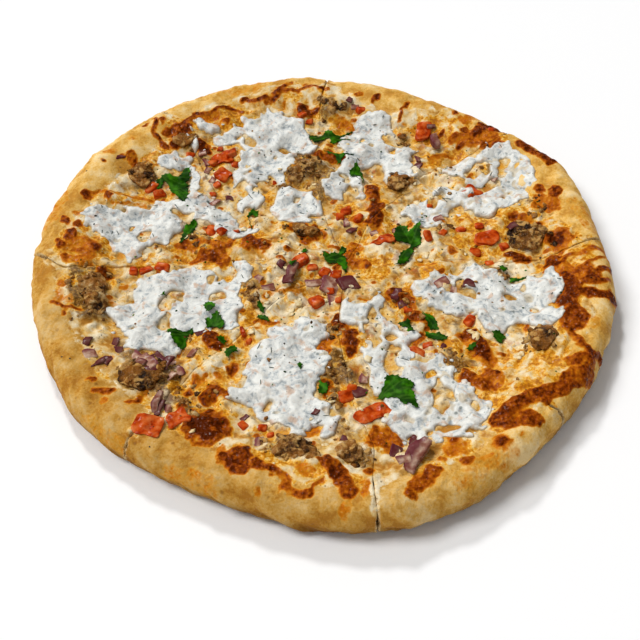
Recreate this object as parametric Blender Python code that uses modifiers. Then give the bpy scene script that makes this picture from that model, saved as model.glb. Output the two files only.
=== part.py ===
"""A thick-crust pizza baked in a round pan, cut into eight and left in its round.

Each slice is a wedge of dough under a sheet of melted cheese. On the cheese lie dollops of
yoghurt sauce, lumps of minced meat, diced tomato, strips of red onion and parsley leaves.
The pizza lies on the plane z = 0 with the middle of its base at the origin and +Z up.
"""
import math
import random

import bmesh
import bpy
from mathutils import Matrix, Vector, noise
from mathutils.bvhtree import BVHTree

MM = 0.001

# ---- Driving dimensions, all in millimetres ------------------------------------------------
GAP = 0.3                # air left between pieces that touch
SKIN = 0.1               # added to the gap where a swollen copy cuts the room for a neighbour
KNIFE = 0.8              # width that the cutter leaves between two slices
BLADE_FOOT = -10         # the cutter reaches from under the pizza
BLADE_TOP = 50           # to well over it
SMALLEST_SLICE = 0.001   # square metres of surface: less than this is a scrap of the cutting
CUT_CENTRE = (12, 4)     # where the four cuts cross
RADIUS = 150             # nominal outer radius of the dough
SPOKES = 50              # facets round the pizza

# Outer radius every 15 degrees, counter-clockwise from +X: the dough is stretched by hand.
DOUGH_EDGE = (154, 155, 160, 154, 152, 155, 159, 161, 161, 160, 160, 157,
              154, 151, 151, 150, 146, 147, 153, 156, 154, 150, 151, 153)
# How far the melted cheese runs out over the rim, at the same angles.
CHEESE_EDGE = (141, 130, 126, 142, 141, 128, 146, 147, 143, 134, 133, 140,
               142, 137, 132, 127, 127, 130, 139, 139, 137, 136, 143, 143)

# Section of the dough: distance in from the outer radius, and height.
DOUGH_TOP = ((0, 9.5), (3.2, 16.2), (9, 19.5), (15.5, 19.3), (24, 16.2), (36, 10.6),
             (50, 9.0), (150, 9.0))
DOUGH_UNDERSIDE = ((1.2, 4.0), (8, 0.0), (150, 0.0))
RIM_SWELL = 1.1          # how much the rim's height wanders
RIM_SWELL_SIZE = 34      # over about this distance
RIM_SEED = 1.5
RIM_HEIGHT = 20

# Cheese: share of its radius and thickness there.
CHEESE_DEPTH = ((0.0, 3.0), (0.8, 3.0), (0.92, 2.2), (1.0, 1.3))
CHEESE_RINGS = 7
BLISTER = 1.0            # height of the bubbles in the cheese
BLISTER_SIZE = 13        # their width
BLISTER_SEED = 4.5
HIDDEN_FLOOR = 4.0       # height inside the dough to which the toppings' blanks reach down

SAUCE_DEPTH = 2.4
SAUCE_LIP = 0.9          # thickness at the edge of a dollop
SAUCE_SHOULDER = 2.0     # width over which it rounds down to the lip
SAUCE_WAVE = 0.4         # how much its depth wanders
SAUCE_WAVE_SIZE = 12
SAUCE_SEED = 9.5
SAUCE_CELL = 14.0        # size of the grid that lets it follow the cheese
OFF_WHOLE = 0.4          # keeps the grid's lines off the outlines' own points
SAUCE_STEP = 9.0         # distance between the points of its outline

CURDS = 18               # crumbs of curd and meat fused to the cheese
CURD_SIZE = (2.6, 4.2)   # radius of the smallest and the largest
CURD_REACH = 118         # how far from the middle they lie
CURD_ROOM = 2.5          # and how clear of everything else
CURD_FLATNESS = 0.75
CRAG = 0.28              # how craggy a lump of meat is, as a share of its radius
CRAG_PITCH = 1.6
DICE_BEVEL = 0.17        # softened edge of diced tomato, as a share of its size
DICE_LEAN = 0.25         # how much wider one end of it is
STRIP_TIP = 0.55         # width of an onion strip's tip, as a share of its middle
STRIP_BOW = 0.25         # how far the strip bows, as a share of its width
LEAF_THICKNESS = 0.5
LEAF_SEGMENTS = 24
LEAF_MIDRIB = 0.42       # share of the leaf between its edge and the inner ring of points
LEAF_LOBES = 3
LEAF_LOBE_DEPTH = 0.26
LEAF_TEETH = 12
LEAF_TOOTH_DEPTH = 0.07
LEAF_FEEL = 2            # a leaf lies over the highest thing within this distance
LIFT_STEP = 0.15         # and is raised by this much at a time until it is clear
MOST_LIFTS = 40
SAUCE_ROOM = 12          # lumps this near to a dollop are cut out of it

# The four cuts, each from rim to rim through CUT_CENTRE.
CUTS = (
    ((-170, 9), (-154, 7), (-135, -6), (-120, -3), (-97, 0), (-45, 4), CUT_CENTRE,
     (62, 4), (100, 4), (121, 6), (140, 12), (158, 20), (172, 26)),
    ((-104, -132), (-92, -117), (-80, -98), (-66, -73), (-43, -49), (-20, -21), CUT_CENTRE,
     (24, 29), (37, 46), (53, 65), (66, 77), (91, 88), (118, 108), (130, 118)),
    ((26, -170), (24, -152), (22, -133), (23, -112), (15, -90), (11, -65), (8, -40), CUT_CENTRE,
     (5, 25), (0, 45), (-3, 65), (-2, 100), (-1, 130), (3, 150), (4, 172)),
    ((128, -110), (115, -97), (98, -91), (80, -82), (58, -57), (39, -31), (23, -12), CUT_CENTRE,
     (-10, 16), (-30, 27), (-41, 37), (-49, 45), (-57, 54), (-65, 66), (-70, 80), (-76, 92),
     (-88, 112), (-104, 129), (-114, 141)),
)

# Dollops of sauce, by slice counter-clockwise from +X: points that their outlines pass through.
SAUCE = {
    "sauce_1": ((58, 74), (64, 82), (76, 85), (92, 84), (109, 88), (119, 76), (119, 56), (106, 43),
                (86, 39), (64, 33), (47, 37), (52, 54)),
    "sauce_2": ((22, 120), (34, 121), (45, 111), (54, 96), (52, 73), (43, 73), (36, 68), (27, 72),
                (24, 58), (15, 46), (6, 43), (4, 58), (7, 79), (15, 90), (12, 105)),
    "sauce_3": ((-66, 98), (-52, 113), (-27, 122), (-8, 117), (-6, 98), (-17, 88), (-22, 64), (-32, 60),
                (-38, 42), (-45, 51), (-52, 60), (-50, 76), (-46, 90)),
    "sauce_3b": ((-27, 42), (-28, 56), (-15, 61), (-5, 57), (-4, 42), (-12, 32)),
    "sauce_4": ((-128, 26), (-126, 36), (-112, 39), (-90, 50), (-84, 60), (-92, 74), (-84, 80), (-75, 76),
                (-71, 60), (-60, 48), (-50, 37), (-44, 25), (-56, 22), (-66, 35), (-78, 30), (-90, 14),
                (-97, 5), (-112, 7), (-120, 16)),
    "sauce_5": ((-106, -34), (-101, -20), (-95, -10), (-73, -1), (-55, -6), (-44, -1), (-38, -4), (-41, -18),
                (-43, -38), (-52, -46), (-68, -52), (-80, -57), (-96, -56)),
    "sauce_6": ((-34, -56), (-18, -44), (-2, -36), (4, -43), (2, -62), (-3, -78), (4, -92), (-3, -102),
                (-12, -107), (-28, -101), (-36, -88), (-50, -83), (-40, -72)),
    "sauce_7": ((12, -22), (22, -15), (33, -20), (33, -34), (46, -45), (57, -62), (69, -74), (79, -95),
                (74, -111), (60, -112), (46, -110), (31, -98), (26, -76), (20, -48), (13, -38)),
    "sauce_8": ((46, -18), (62, -7), (88, -4), (104, -10), (120, -8), (123, -24), (119, -44), (102, -42),
                (82, -42), (66, -33), (50, -28)),
}

# Holes in the sauce where blisters of cheese stand through: middle, length, width and turn.
SAUCE_HOLES = (
    (71, 67, 23, 14, 10), (-72, -22, 9, 6, 20), (68, -91, 7, 6, 0), (42, -62, 10, 6, 100),
    (-27, -92, 7, 5, 30), (104, -22, 8, 6, 60), (-100, 22, 8, 5, 0), (-38, 96, 8, 5, 40),
)

# Lumps and strips: middle, length, width, height, and turn in degrees.
MEAT = (
    (-103, 68, 19, 14, 6, 100), (-80, 98, 16, 10, 5, 30), (-13, 74, 17, 19, 6, 10),
    (9, 127, 14, 10, 6, 20), (44, 64, 15, 11, 6, 40), (110, 21, 22, 20, 7, 20),
    (-118, -22, 18, 30, 6, 15), (-36, -21, 9, 16, 5, 15), (-88, -72, 27, 20, 7, 20),
    (-13, -115, 23, 13, 6, 0), (12, -117, 13, 13, 6, 0), (108, -52, 18, 14, 7, 80),
    (-10, 26, 16, 9, 5, 150),
)
TOMATO = (
    (-58, 84, 11, 9, 5, 20), (-57, 70, 8, 9, 4, 60), (33, 19, 12, 7, 4, 30), (60, 106, 11, 8, 5, 70),
    (84, 56, 9, 9, 4, 50), (89, 20, 12, 9, 5, 10), (-80, -104.5, 13, 11, 4, -20), (-67.5, -100, 11, 8, 4, 35),
    (23, -94.5, 17, 8, 4, 30),
)
ONION = (
    (43, -121, 20, 8, 5, 60), (67, 96, 12, 5, 4, 100), (-15, -5, 13, 5, 4, 75), (-77, -91, 13, 4, 4, 80),
)
# Parsley leaves: middle, length, width, and turn in degrees.
PARSLEY = (
    (-84, 65, 29, 22, 60), (-74, 29, 18, 10, 65), (6, 107, 23, 15, 10), (20, 76, 20, 10, 100),
    (47, 21, 30, 17, 75), (8, 9, 20, 14, 110), (-55, -33, 19, 11, 110), (-71, -47, 16, 16, 20),
    (36, -80, 22, 20, -30),
)

COLOURS = {              # linear red, green, blue and roughness
    "crust": ((0.62, 0.37, 0.15), 0.75),
    "cheese": ((0.78, 0.52, 0.24), 0.45),
    "sauce": ((0.80, 0.82, 0.78), 0.35),
    "meat": ((0.19, 0.10, 0.045), 0.60),
    "tomato": ((0.62, 0.13, 0.035), 0.35),
    "onion": ((0.36, 0.14, 0.16), 0.40),
    "parsley": ((0.04, 0.16, 0.015), 0.50),
}


# ---- Curves and heights --------------------------------------------------------------------
def through(points, closed, step):
    """Points about a step apart on a smooth curve through the given points."""
    count = len(points)
    curve = []
    for first in range(count if closed else count - 1):
        if closed:
            near = [Vector(points[(first + k) % count]) for k in (-1, 0, 1, 2)]
        else:
            near = [Vector(points[min(max(first + k, 0), count - 1)]) for k in (-1, 0, 1, 2)]
        before, here, after, beyond = near
        pieces = max(1, round((after - here).length / step))
        for piece in range(pieces):
            t = piece / pieces
            leave = (after - before) / 2
            arrive = (beyond - here) / 2
            bend = 3 * (after - here) - 2 * leave - arrive
            twist = 2 * (here - after) + leave + arrive
            curve.append(here + t * (leave + t * (bend + t * twist)))
    if not closed:
        curve.append(Vector(points[-1]))
    return curve


def around(radii, angle):
    """The radius at an angle, on a smooth closed curve through radii at equal steps."""
    place = (angle / math.tau % 1) * len(radii)
    first = int(place)
    before, here, after, beyond = (radii[(first + k) % len(radii)] for k in (-1, 0, 1, 2))
    t = place - first
    leave = (after - before) / 2
    arrive = (beyond - here) / 2
    bend = 3 * (after - here) - 2 * leave - arrive
    return here + t * (leave + t * (bend + t * (2 * (here - after) + leave + arrive)))


def along(table, place):
    """Linear reading between the pairs of a table whose first numbers rise."""
    for (start, low), (end, high) in zip(table, table[1:]):
        if place <= end:
            return low + (high - low) * max(0, place - start) / (end - start)
    return table[-1][1]


def swell(x, y, size, seed):
    """A slow bump between -1 and 1, about as wide as size."""
    return noise.noise(Vector((x / size, y / size, seed)))


def dough_height(x, y):
    reach = around(DOUGH_EDGE, math.atan2(y, x))
    inset = RADIUS * (1 - min(1, math.hypot(x, y) / reach))
    height = along(DOUGH_TOP, inset)
    return height + RIM_SWELL * swell(x, y, RIM_SWELL_SIZE, RIM_SEED) * height / RIM_HEIGHT


def cheese_height(x, y):
    share = math.hypot(x, y) / around(CHEESE_EDGE, math.atan2(y, x))
    bubbles = BLISTER * (swell(x, y, BLISTER_SIZE, BLISTER_SEED) + 0.6) * (1 - share ** 6)
    return dough_height(x, y) + along(CHEESE_DEPTH, share) + bubbles


# ---- Objects and Booleans ------------------------------------------------------------------
def clear_scene():
    for thing in list(bpy.data.objects):
        bpy.data.objects.remove(thing, do_unlink=True)


def collection(name):
    group = bpy.data.collections.new(name)
    bpy.context.scene.collection.children.link(group)
    return group


def add(name, bm, group):
    """Turns a bmesh into an object of a collection."""
    mesh = bpy.data.meshes.new(name)
    bm.to_mesh(mesh)
    bm.free()
    thing = bpy.data.objects.new(name, mesh)
    group.objects.link(thing)
    if group is cutters:
        thing.hide_render = True
        thing.display_type = "WIRE"
    return thing


def apply_modifiers(thing):
    graph = bpy.context.evaluated_depsgraph_get()
    finished = bpy.data.meshes.new_from_object(thing.evaluated_get(graph))
    thing.modifiers.clear()
    thing.data = finished


def cut_away(thing, tools, solver="EXACT"):
    """Takes the tools out of a body. MANIFOLD is for the toppings, where EXACT leaves slivers."""
    for tool in tools:
        modifier = thing.modifiers.new("cut", "BOOLEAN")
        modifier.operation = "DIFFERENCE"
        modifier.solver = solver
        modifier.object = tool
    apply_modifiers(thing)


def islands(bm):
    """The separate bodies of a mesh, as lists of faces."""
    left = set(bm.faces)
    bodies = []
    while left:
        body = set()
        edge_of_search = {left.pop()}
        while edge_of_search:
            face = edge_of_search.pop()
            body.add(face)
            for edge in face.edges:
                for other in edge.link_faces:
                    if other in left:
                        left.discard(other)
                        edge_of_search.add(other)
        bodies.append(body)
    return bodies


def drop_scraps(thing):
    """Keeps only the largest body that the cuts left."""
    bm = bmesh.new()
    bm.from_mesh(thing.data)
    bodies = sorted(islands(bm), key=lambda body: sum(face.calc_area() for face in body))
    scraps = [face for body in bodies[:-1] for face in body]
    bmesh.ops.delete(bm, geom=scraps, context="FACES")
    bm.to_mesh(thing.data)
    bm.free()


def flat_facets(thing):
    """Splits bent four-sided faces, so that every cut reads the same surface."""
    bm = bmesh.new()
    bm.from_mesh(thing.data)
    bmesh.ops.triangulate(bm, faces=bm.faces[:])
    bm.to_mesh(thing.data)
    bm.free()


def swollen(thing, name):
    """A copy swollen by a little more than the gap, which cuts room for a neighbour."""
    bm = bmesh.new()
    bm.from_mesh(thing.data)
    bmesh.ops.recalc_face_normals(bm, faces=bm.faces[:])
    bm.normal_update()
    moves = [(vert, vert.normal * (GAP + SKIN) * MM) for vert in bm.verts]
    for vert, move in moves:
        vert.co += move
    return add(name, bm, cutters)


def material(name):
    colour, roughness = COLOURS[name]
    finish = bpy.data.materials.new(name)
    finish.use_nodes = True
    shader = finish.node_tree.nodes["Principled BSDF"]
    shader.inputs["Base Color"].default_value = (*colour, 1)
    shader.inputs["Roughness"].default_value = roughness
    shader.inputs["Metallic"].default_value = 0
    return finish


def dress(thing, name):
    thing.data.materials.clear()
    thing.data.materials.append(finishes[name])


# ---- Dough and cheese ----------------------------------------------------------------------
def turned(name, profile):
    """A body turned about Z from (radius, height) pairs, down its outer side to the axis."""
    bm = bmesh.new()
    verts = [bm.verts.new((radius * MM, 0, height * MM)) for radius, height in profile]
    for first, second in zip(verts, verts[1:]):
        bm.edges.new((first, second))
    thing = add(name, bm, cutters)
    screw = thing.modifiers.new("turn", "SCREW")
    screw.steps = SPOKES
    screw.render_steps = SPOKES
    screw.use_merge_vertices = True
    screw.merge_threshold = 0.00001
    apply_modifiers(thing)
    return thing


def make_dough():
    """The whole dough: a turned section, pushed out to the hand-made outline."""
    top = [(RADIUS - inset, height) for inset, height in reversed(DOUGH_TOP)]
    underside = [(RADIUS - inset, height) for inset, height in DOUGH_UNDERSIDE]
    dough = turned("dough", top + underside)
    lowest_top = DOUGH_TOP[0][1] - 0.5
    for vert in dough.data.vertices:
        x, y, z = (value / MM for value in vert.co)
        stretch = around(DOUGH_EDGE, math.atan2(y, x)) / RADIUS
        vert.co.x *= stretch
        vert.co.y *= stretch
        if z > lowest_top:
            wander = swell(x * stretch, y * stretch, RIM_SWELL_SIZE, RIM_SEED)
            vert.co.z += RIM_SWELL * wander * z / RIM_HEIGHT * MM
    flat_facets(dough)
    return dough


def make_cheese(dough):
    """The whole sheet of melted cheese: a deep blank, with the raised dough taken out of it."""
    rings = [ring / CHEESE_RINGS for ring in range(CHEESE_RINGS)] + [1.0]
    profile = [(RADIUS * share, RIM_HEIGHT) for share in rings]
    cheese = turned("cheese", profile + [(RADIUS, HIDDEN_FLOOR), (0, HIDDEN_FLOOR)])
    for vert in cheese.data.vertices:
        x, y, z = (value / MM for value in vert.co)
        stretch = around(CHEESE_EDGE, math.atan2(y, x)) / RADIUS
        vert.co.x *= stretch
        vert.co.y *= stretch
        if z > HIDDEN_FLOOR + 0.5:
            vert.co.z = cheese_height(x * stretch, y * stretch) * MM
    flat_facets(cheese)
    return cheese


def curds(cheese):
    """Fuses crumbs to the cheese wherever nothing else lies, by one union."""
    draw = random.Random(8)
    crumbs = collection("crumbs")
    outlines = [through(points, True, 6) for points in SAUCE.values()]
    placed = []
    while len(placed) < CURDS:
        angle = draw.uniform(0, math.tau)
        spot = Vector((math.cos(angle), math.sin(angle))) * CURD_REACH * math.sqrt(draw.uniform(0.02, 1))
        size = draw.uniform(*CURD_SIZE)
        room = size + CURD_ROOM
        near_cut = any((spot - point).length < room for path in CUTS for point in through(path, False, 3))
        near_sauce = any(inside(spot, line) or min((spot - point).length for point in line) < room
                         for line in outlines)
        near_lump = any((spot - Vector(lump[:2])).length < room + max(lump[2:4]) / 2
                        for lump in MEAT + TOMATO + ONION + PARSLEY)
        near_crumb = any((spot - other).length < 2 * room for other in placed)
        if near_cut or near_sauce or near_lump or near_crumb:
            continue
        placed.append(spot)
        bm = bmesh.new()
        bmesh.ops.create_icosphere(bm, subdivisions=1, radius=size * MM)
        for vert in bm.verts:
            vert.co *= draw.uniform(0.8, 1.15)
            vert.co.z *= CURD_FLATNESS
        height = cheese_height(*spot) + 0.1
        bmesh.ops.translate(bm, verts=bm.verts, vec=(spot.x * MM, spot.y * MM, height * MM))
        add(f"crumb_{len(placed)}", bm, crumbs)
    modifier = cheese.modifiers.new("fuse", "BOOLEAN")
    modifier.operation = "UNION"
    modifier.solver = "EXACT"
    modifier.operand_type = "COLLECTION"
    modifier.collection = crumbs
    apply_modifiers(cheese)
    for crumb in list(crumbs.objects):
        bpy.data.objects.remove(crumb, do_unlink=True)
    bpy.data.collections.remove(crumbs)


def inside(spot, line):
    """Whether a spot is inside a closed line of points."""
    crossings = 0
    for a, b in zip(line, line[1:] + line[:1]):
        if (a.y > spot.y) != (b.y > spot.y):
            crossings += spot.x < a.x + (b.x - a.x) * (spot.y - a.y) / (b.y - a.y)
    return crossings % 2 == 1


def make_blade(number, path):
    """A thin upright sheet along a cut."""
    bm = bmesh.new()
    foot = [bm.verts.new((x * MM, y * MM, BLADE_FOOT * MM)) for x, y in through(path, False, 14)]
    edges = [bm.edges.new(pair) for pair in zip(foot, foot[1:])]
    raised = bmesh.ops.extrude_edge_only(bm, edges=edges)["geom"]
    for vert in raised:
        if isinstance(vert, bmesh.types.BMVert):
            vert.co.z = BLADE_TOP * MM
    blade = add(f"blade_{number}", bm, cutters)
    thick = blade.modifiers.new("thickness", "SOLIDIFY")
    thick.thickness = KNIFE * MM
    thick.offset = 0
    apply_modifiers(blade)
    return blade


def slices(whole, name, finish):
    """Parts the cut body into its eight slices, numbered counter-clockwise from +X."""
    bm = bmesh.new()
    bm.from_mesh(whole.data)
    bodies = [body for body in islands(bm) if sum(face.calc_area() for face in body) > SMALLEST_SLICE]
    found = []
    for body in bodies:
        corners = {vert for face in body for vert in face.verts}
        middle = sum((vert.co for vert in corners), Vector()) / len(corners) / MM
        angle = math.atan2(middle.y - CUT_CENTRE[1], middle.x - CUT_CENTRE[0]) % math.tau
        found.append((angle, body))
    bm.verts.index_update()
    found.sort(key=lambda pair: pair[0])
    for number, (_, body) in enumerate(found, 1):
        piece = bm.copy()
        piece.faces.ensure_lookup_table()
        kept = {face.index for face in body}
        gone = [face for face in piece.faces if face.index not in kept]
        bmesh.ops.delete(piece, geom=gone, context="FACES")
        dress(add(f"{name}_{number}", piece, pizza), finish)
    bm.free()


# ---- Sauce and toppings --------------------------------------------------------------------
def make_hole(number, x, y, length, width, turn):
    """An upright oval post that cuts a hole in the sauce."""
    bm = bmesh.new()
    bmesh.ops.create_cone(bm, cap_ends=True, segments=8, radius1=0.5, radius2=0.5, depth=60)
    bmesh.ops.scale(bm, verts=bm.verts, vec=(length * MM, width * MM, MM))
    bmesh.ops.rotate(bm, verts=bm.verts, matrix=Matrix.Rotation(math.radians(turn), 3, "Z"))
    bmesh.ops.translate(bm, verts=bm.verts, vec=(x * MM, y * MM, 0))
    return add(f"hole_{number}", bm, cutters)


class Ground:
    """The height of the highest surface of some objects."""

    def __init__(self, things):
        self.trees = []
        for thing in things:
            bm = bmesh.new()
            bm.from_mesh(thing.data)
            self.trees.append(BVHTree.FromBMesh(bm))
            bm.free()

    def height(self, x, y):
        start = Vector((x * MM, y * MM, 0.1))
        down = Vector((0, 0, -1))
        hits = [tree.ray_cast(start, down)[0] for tree in self.trees]
        return max((hit.z for hit in hits if hit), default=0) / MM


def grid_cells(bm, faces):
    """Cuts flat faces on a square grid, so that they can follow the ground."""
    geometry = faces + [e for f in faces for e in f.edges] + [v for f in faces for v in f.verts]
    geometry = list(dict.fromkeys(geometry))
    for axis in (0, 1):
        values = [vert.co[axis] / MM for vert in bm.verts]
        line = math.ceil(min(values) / SAUCE_CELL) * SAUCE_CELL + OFF_WHOLE
        while line < max(values):
            point = Vector((0, 0, 0))
            point[axis] = line * MM
            normal = Vector((0, 0, 0))
            normal[axis] = 1
            done = bmesh.ops.bisect_plane(bm, geom=geometry, dist=0.00001, plane_co=point, plane_no=normal)
            geometry = done["geom"]
            line += SAUCE_CELL


def make_sauce(name, outline, ground):
    """A dollop: its outline with a rounded shoulder, laid over the ground."""
    bm = bmesh.new()
    rim = [bm.verts.new((point.x * MM, point.y * MM, 0)) for point in through(outline, True, SAUCE_STEP)]
    bm.faces.new(rim)
    shoulder = bmesh.ops.inset_region(bm, faces=bm.faces[:], thickness=SAUCE_SHOULDER * MM,
                                      use_even_offset=False)["faces"]
    grid_cells(bm, [face for face in bm.faces if face not in shoulder])
    bmesh.ops.triangulate(bm, faces=bm.faces[:])
    for vert in bm.verts:
        x, y = vert.co.x / MM, vert.co.y / MM
        wave = 1 + SAUCE_WAVE * swell(x, y, SAUCE_WAVE_SIZE, SAUCE_SEED)
        depth = SAUCE_LIP if vert.is_boundary else SAUCE_DEPTH * wave
        vert.co.z = (ground.height(x, y) + depth) * MM
    below = bmesh.ops.extrude_face_region(bm, geom=bm.faces[:], use_keep_orig=True)["geom"]
    for vert in below:
        if isinstance(vert, bmesh.types.BMVert):
            vert.co.z = HIDDEN_FLOOR * MM
    bmesh.ops.recalc_face_normals(bm, faces=bm.faces[:])
    return add(name, bm, pizza)


def set_down(bm, place, turn, ground, sunk):
    """Turns a lump and sets it on the ground, partly sunk."""
    x, y = place
    bmesh.ops.triangulate(bm, faces=bm.faces[:])
    bmesh.ops.rotate(bm, verts=bm.verts, matrix=Matrix.Rotation(math.radians(turn), 3, "Z"))
    height = ground.height(x, y) - sunk
    bmesh.ops.translate(bm, verts=bm.verts, vec=(x * MM, y * MM, height * MM))


def make_meat(name, x, y, length, width, height, turn, ground):
    """A craggy lump of minced meat."""
    bm = bmesh.new()
    bmesh.ops.create_icosphere(bm, subdivisions=2, radius=1)
    for vert in bm.verts:
        crag = 1 + CRAG * noise.noise(vert.co * CRAG_PITCH + Vector((x, y, 0)))
        vert.co *= crag
        vert.co.x *= length / 2 * MM
        vert.co.y *= width / 2 * MM
        vert.co.z *= height * 0.75 * MM
    set_down(bm, (x, y), turn, ground, -0.25 * height)
    return add(name, bm, pizza)


def make_tomato(name, x, y, length, width, height, turn, ground):
    """A diced piece of tomato with softened edges."""
    bm = bmesh.new()
    bmesh.ops.create_cube(bm, size=1)
    bmesh.ops.bevel(bm, geom=bm.edges[:], offset=DICE_BEVEL, segments=1, profile=0.5,
                    affect="EDGES", material=-1)
    for vert in bm.verts:
        lean = 1 + DICE_LEAN * vert.co.x
        rise = (vert.co.z + 0.15) * height * 1.3
        vert.co = Vector((vert.co.x * length, vert.co.y * width * lean, rise)) * MM
    set_down(bm, (x, y), turn, ground, -0.2 * height)
    return add(name, bm, pizza)


def make_onion(name, x, y, length, width, height, turn, ground):
    """A curved strip of onion."""
    bm = bmesh.new()
    bmesh.ops.create_cube(bm, size=1)
    longways = [edge for edge in bm.edges if abs(edge.verts[0].co.x - edge.verts[1].co.x) > 0.5]
    bmesh.ops.subdivide_edges(bm, edges=longways, cuts=4, use_grid_fill=True)
    for vert in bm.verts:
        bow = 1 - 4 * vert.co.x ** 2
        taper = STRIP_TIP + (1 - STRIP_TIP) * bow
        across = vert.co.y * width * taper + STRIP_BOW * width * bow
        rise = (vert.co.z + 0.1) * height * (0.7 + 0.5 * bow)
        vert.co = Vector((vert.co.x * length, across, rise)) * MM
    set_down(bm, (x, y), turn, ground, -0.15 * height)
    return add(name, bm, pizza)


def make_leaf(name, x, y, length, width, turn, ground, others):
    """A three-lobed parsley leaf: a thin wavy skin laid down on whatever is under it."""
    bm = bmesh.new()
    bmesh.ops.create_circle(bm, cap_ends=True, segments=LEAF_SEGMENTS, radius=1)
    bmesh.ops.inset_region(bm, faces=bm.faces[:], thickness=LEAF_MIDRIB)
    middle = [face for face in bm.faces if len(face.verts) > 4]
    bmesh.ops.poke(bm, faces=middle)
    for vert in bm.verts:
        angle = math.atan2(vert.co.y, vert.co.x)
        reach = vert.co.xy.length
        lobes = 1 + LEAF_LOBE_DEPTH * (math.cos(LEAF_LOBES * angle) - 1)
        teeth = 1 + LEAF_TOOTH_DEPTH * math.cos(LEAF_TEETH * angle)
        shape = 1 + (lobes * teeth - 1) * reach
        vert.co.x *= shape * length / 2 * MM
        vert.co.y *= shape * width / 2 * MM
    bmesh.ops.rotate(bm, verts=bm.verts, matrix=Matrix.Rotation(math.radians(turn), 3, "Z"))
    bmesh.ops.translate(bm, verts=bm.verts, vec=(x * MM, y * MM, 0))
    bmesh.ops.triangulate(bm, faces=bm.faces[:])
    for vert in bm.verts:
        px, py = vert.co.x / MM, vert.co.y / MM
        steps = (-LEAF_FEEL, 0, LEAF_FEEL)
        nearby = [ground.height(px + dx, py + dy) for dx in steps for dy in steps]
        vert.co.z = (max(nearby) + GAP + LEAF_THICKNESS) * MM
    leaf = add(name, bm, pizza)
    thick = leaf.modifiers.new("thickness", "SOLIDIFY")
    thick.thickness = LEAF_THICKNESS * MM
    thick.offset = 0
    apply_modifiers(leaf)
    lift_clear(leaf, others)
    return leaf


def lift_clear(thing, others):
    """Raises a piece until it and a skin of air round it touch nothing."""
    bm = bmesh.new()
    bm.from_mesh(thing.data)
    for _ in range(MOST_LIFTS):
        skin = bm.copy()
        skin.normal_update()
        for vert in skin.verts:
            vert.co += vert.normal * GAP * MM
        tree = BVHTree.FromBMesh(skin)
        skin.free()
        if not any(tree.overlap(other) for other in others):
            break
        bmesh.ops.translate(bm, verts=bm.verts, vec=(0, 0, LIFT_STEP * MM))
    bm.to_mesh(thing.data)
    bm.free()


# ---- The pizza -----------------------------------------------------------------------------
clear_scene()
pizza = collection("pizza")
cutters = collection("cutters")
finishes = {name: material(name) for name in COLOURS}

dough = make_dough()
cheese = make_cheese(dough)
curds(cheese)
bed = [swollen(dough, "bed_dough"), swollen(cheese, "bed_cheese")]
blades = [make_blade(number, path) for number, path in enumerate(CUTS, 1)]

cut_away(cheese, blades + [bed[0]])
cut_away(dough, blades)
slices(dough, "crust", "crust")
slices(cheese, "cheese", "cheese")
bpy.data.objects.remove(dough, do_unlink=True)
bpy.data.objects.remove(cheese, do_unlink=True)

ground = Ground(bed)
toppings = []
for kind, make, places in (("meat", make_meat, MEAT), ("tomato", make_tomato, TOMATO),
                           ("onion", make_onion, ONION)):
    for number, place in enumerate(places, 1):
        topping = make(f"{kind}_{number}", *place, ground)
        cut_away(topping, bed, "MANIFOLD")
        drop_scraps(topping)
        dress(topping, kind)
        toppings.append(topping)

room = [swollen(topping, f"room_{topping.name}") for topping in toppings]
holes = [make_hole(number, *place) for number, place in enumerate(SAUCE_HOLES, 1)]
for name, outline in SAUCE.items():
    dollop = make_sauce(name, outline, ground)
    spots = [Vector(point) for point in outline]
    middle = sum(spots, Vector((0, 0))) / len(spots)
    reach = max((spot - middle).length for spot in spots) + SAUCE_ROOM
    lumps = zip(room + holes, MEAT + TOMATO + ONION + SAUCE_HOLES)
    near = [space for space, lump in lumps if (Vector(lump[:2]) - middle).length < reach]
    cut_away(dollop, bed + near + blades, "MANIFOLD")
    drop_scraps(dollop)
    dress(dollop, "sauce")
    toppings.append(dollop)

surface = Ground(bed + toppings)
for number, place in enumerate(PARSLEY, 1):
    leaf = make_leaf(f"parsley_{number}", *place, surface, surface.trees)
    dress(leaf, "parsley")

for tool in list(cutters.objects):
    bpy.data.objects.remove(tool, do_unlink=True)
bpy.data.collections.remove(cutters)
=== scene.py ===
"""Looks of a thick-crust pizza, cut into eight and left in its round.

It is put together from the dough upwards: melted cheese, minced meat, spoonfuls of yoghurt
sauce, and then what lies in and on them: tomato, red onion, curds, parsley and herbs. Lengths
are in millimetres until a mesh is written. Heights and colours that run across pieces are kept
as maps of the round.
"""
import math
import random

import bmesh
import bpy
import numpy as np
from mathutils import Matrix, Vector, noise
from mathutils.bvhtree import BVHTree


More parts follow.
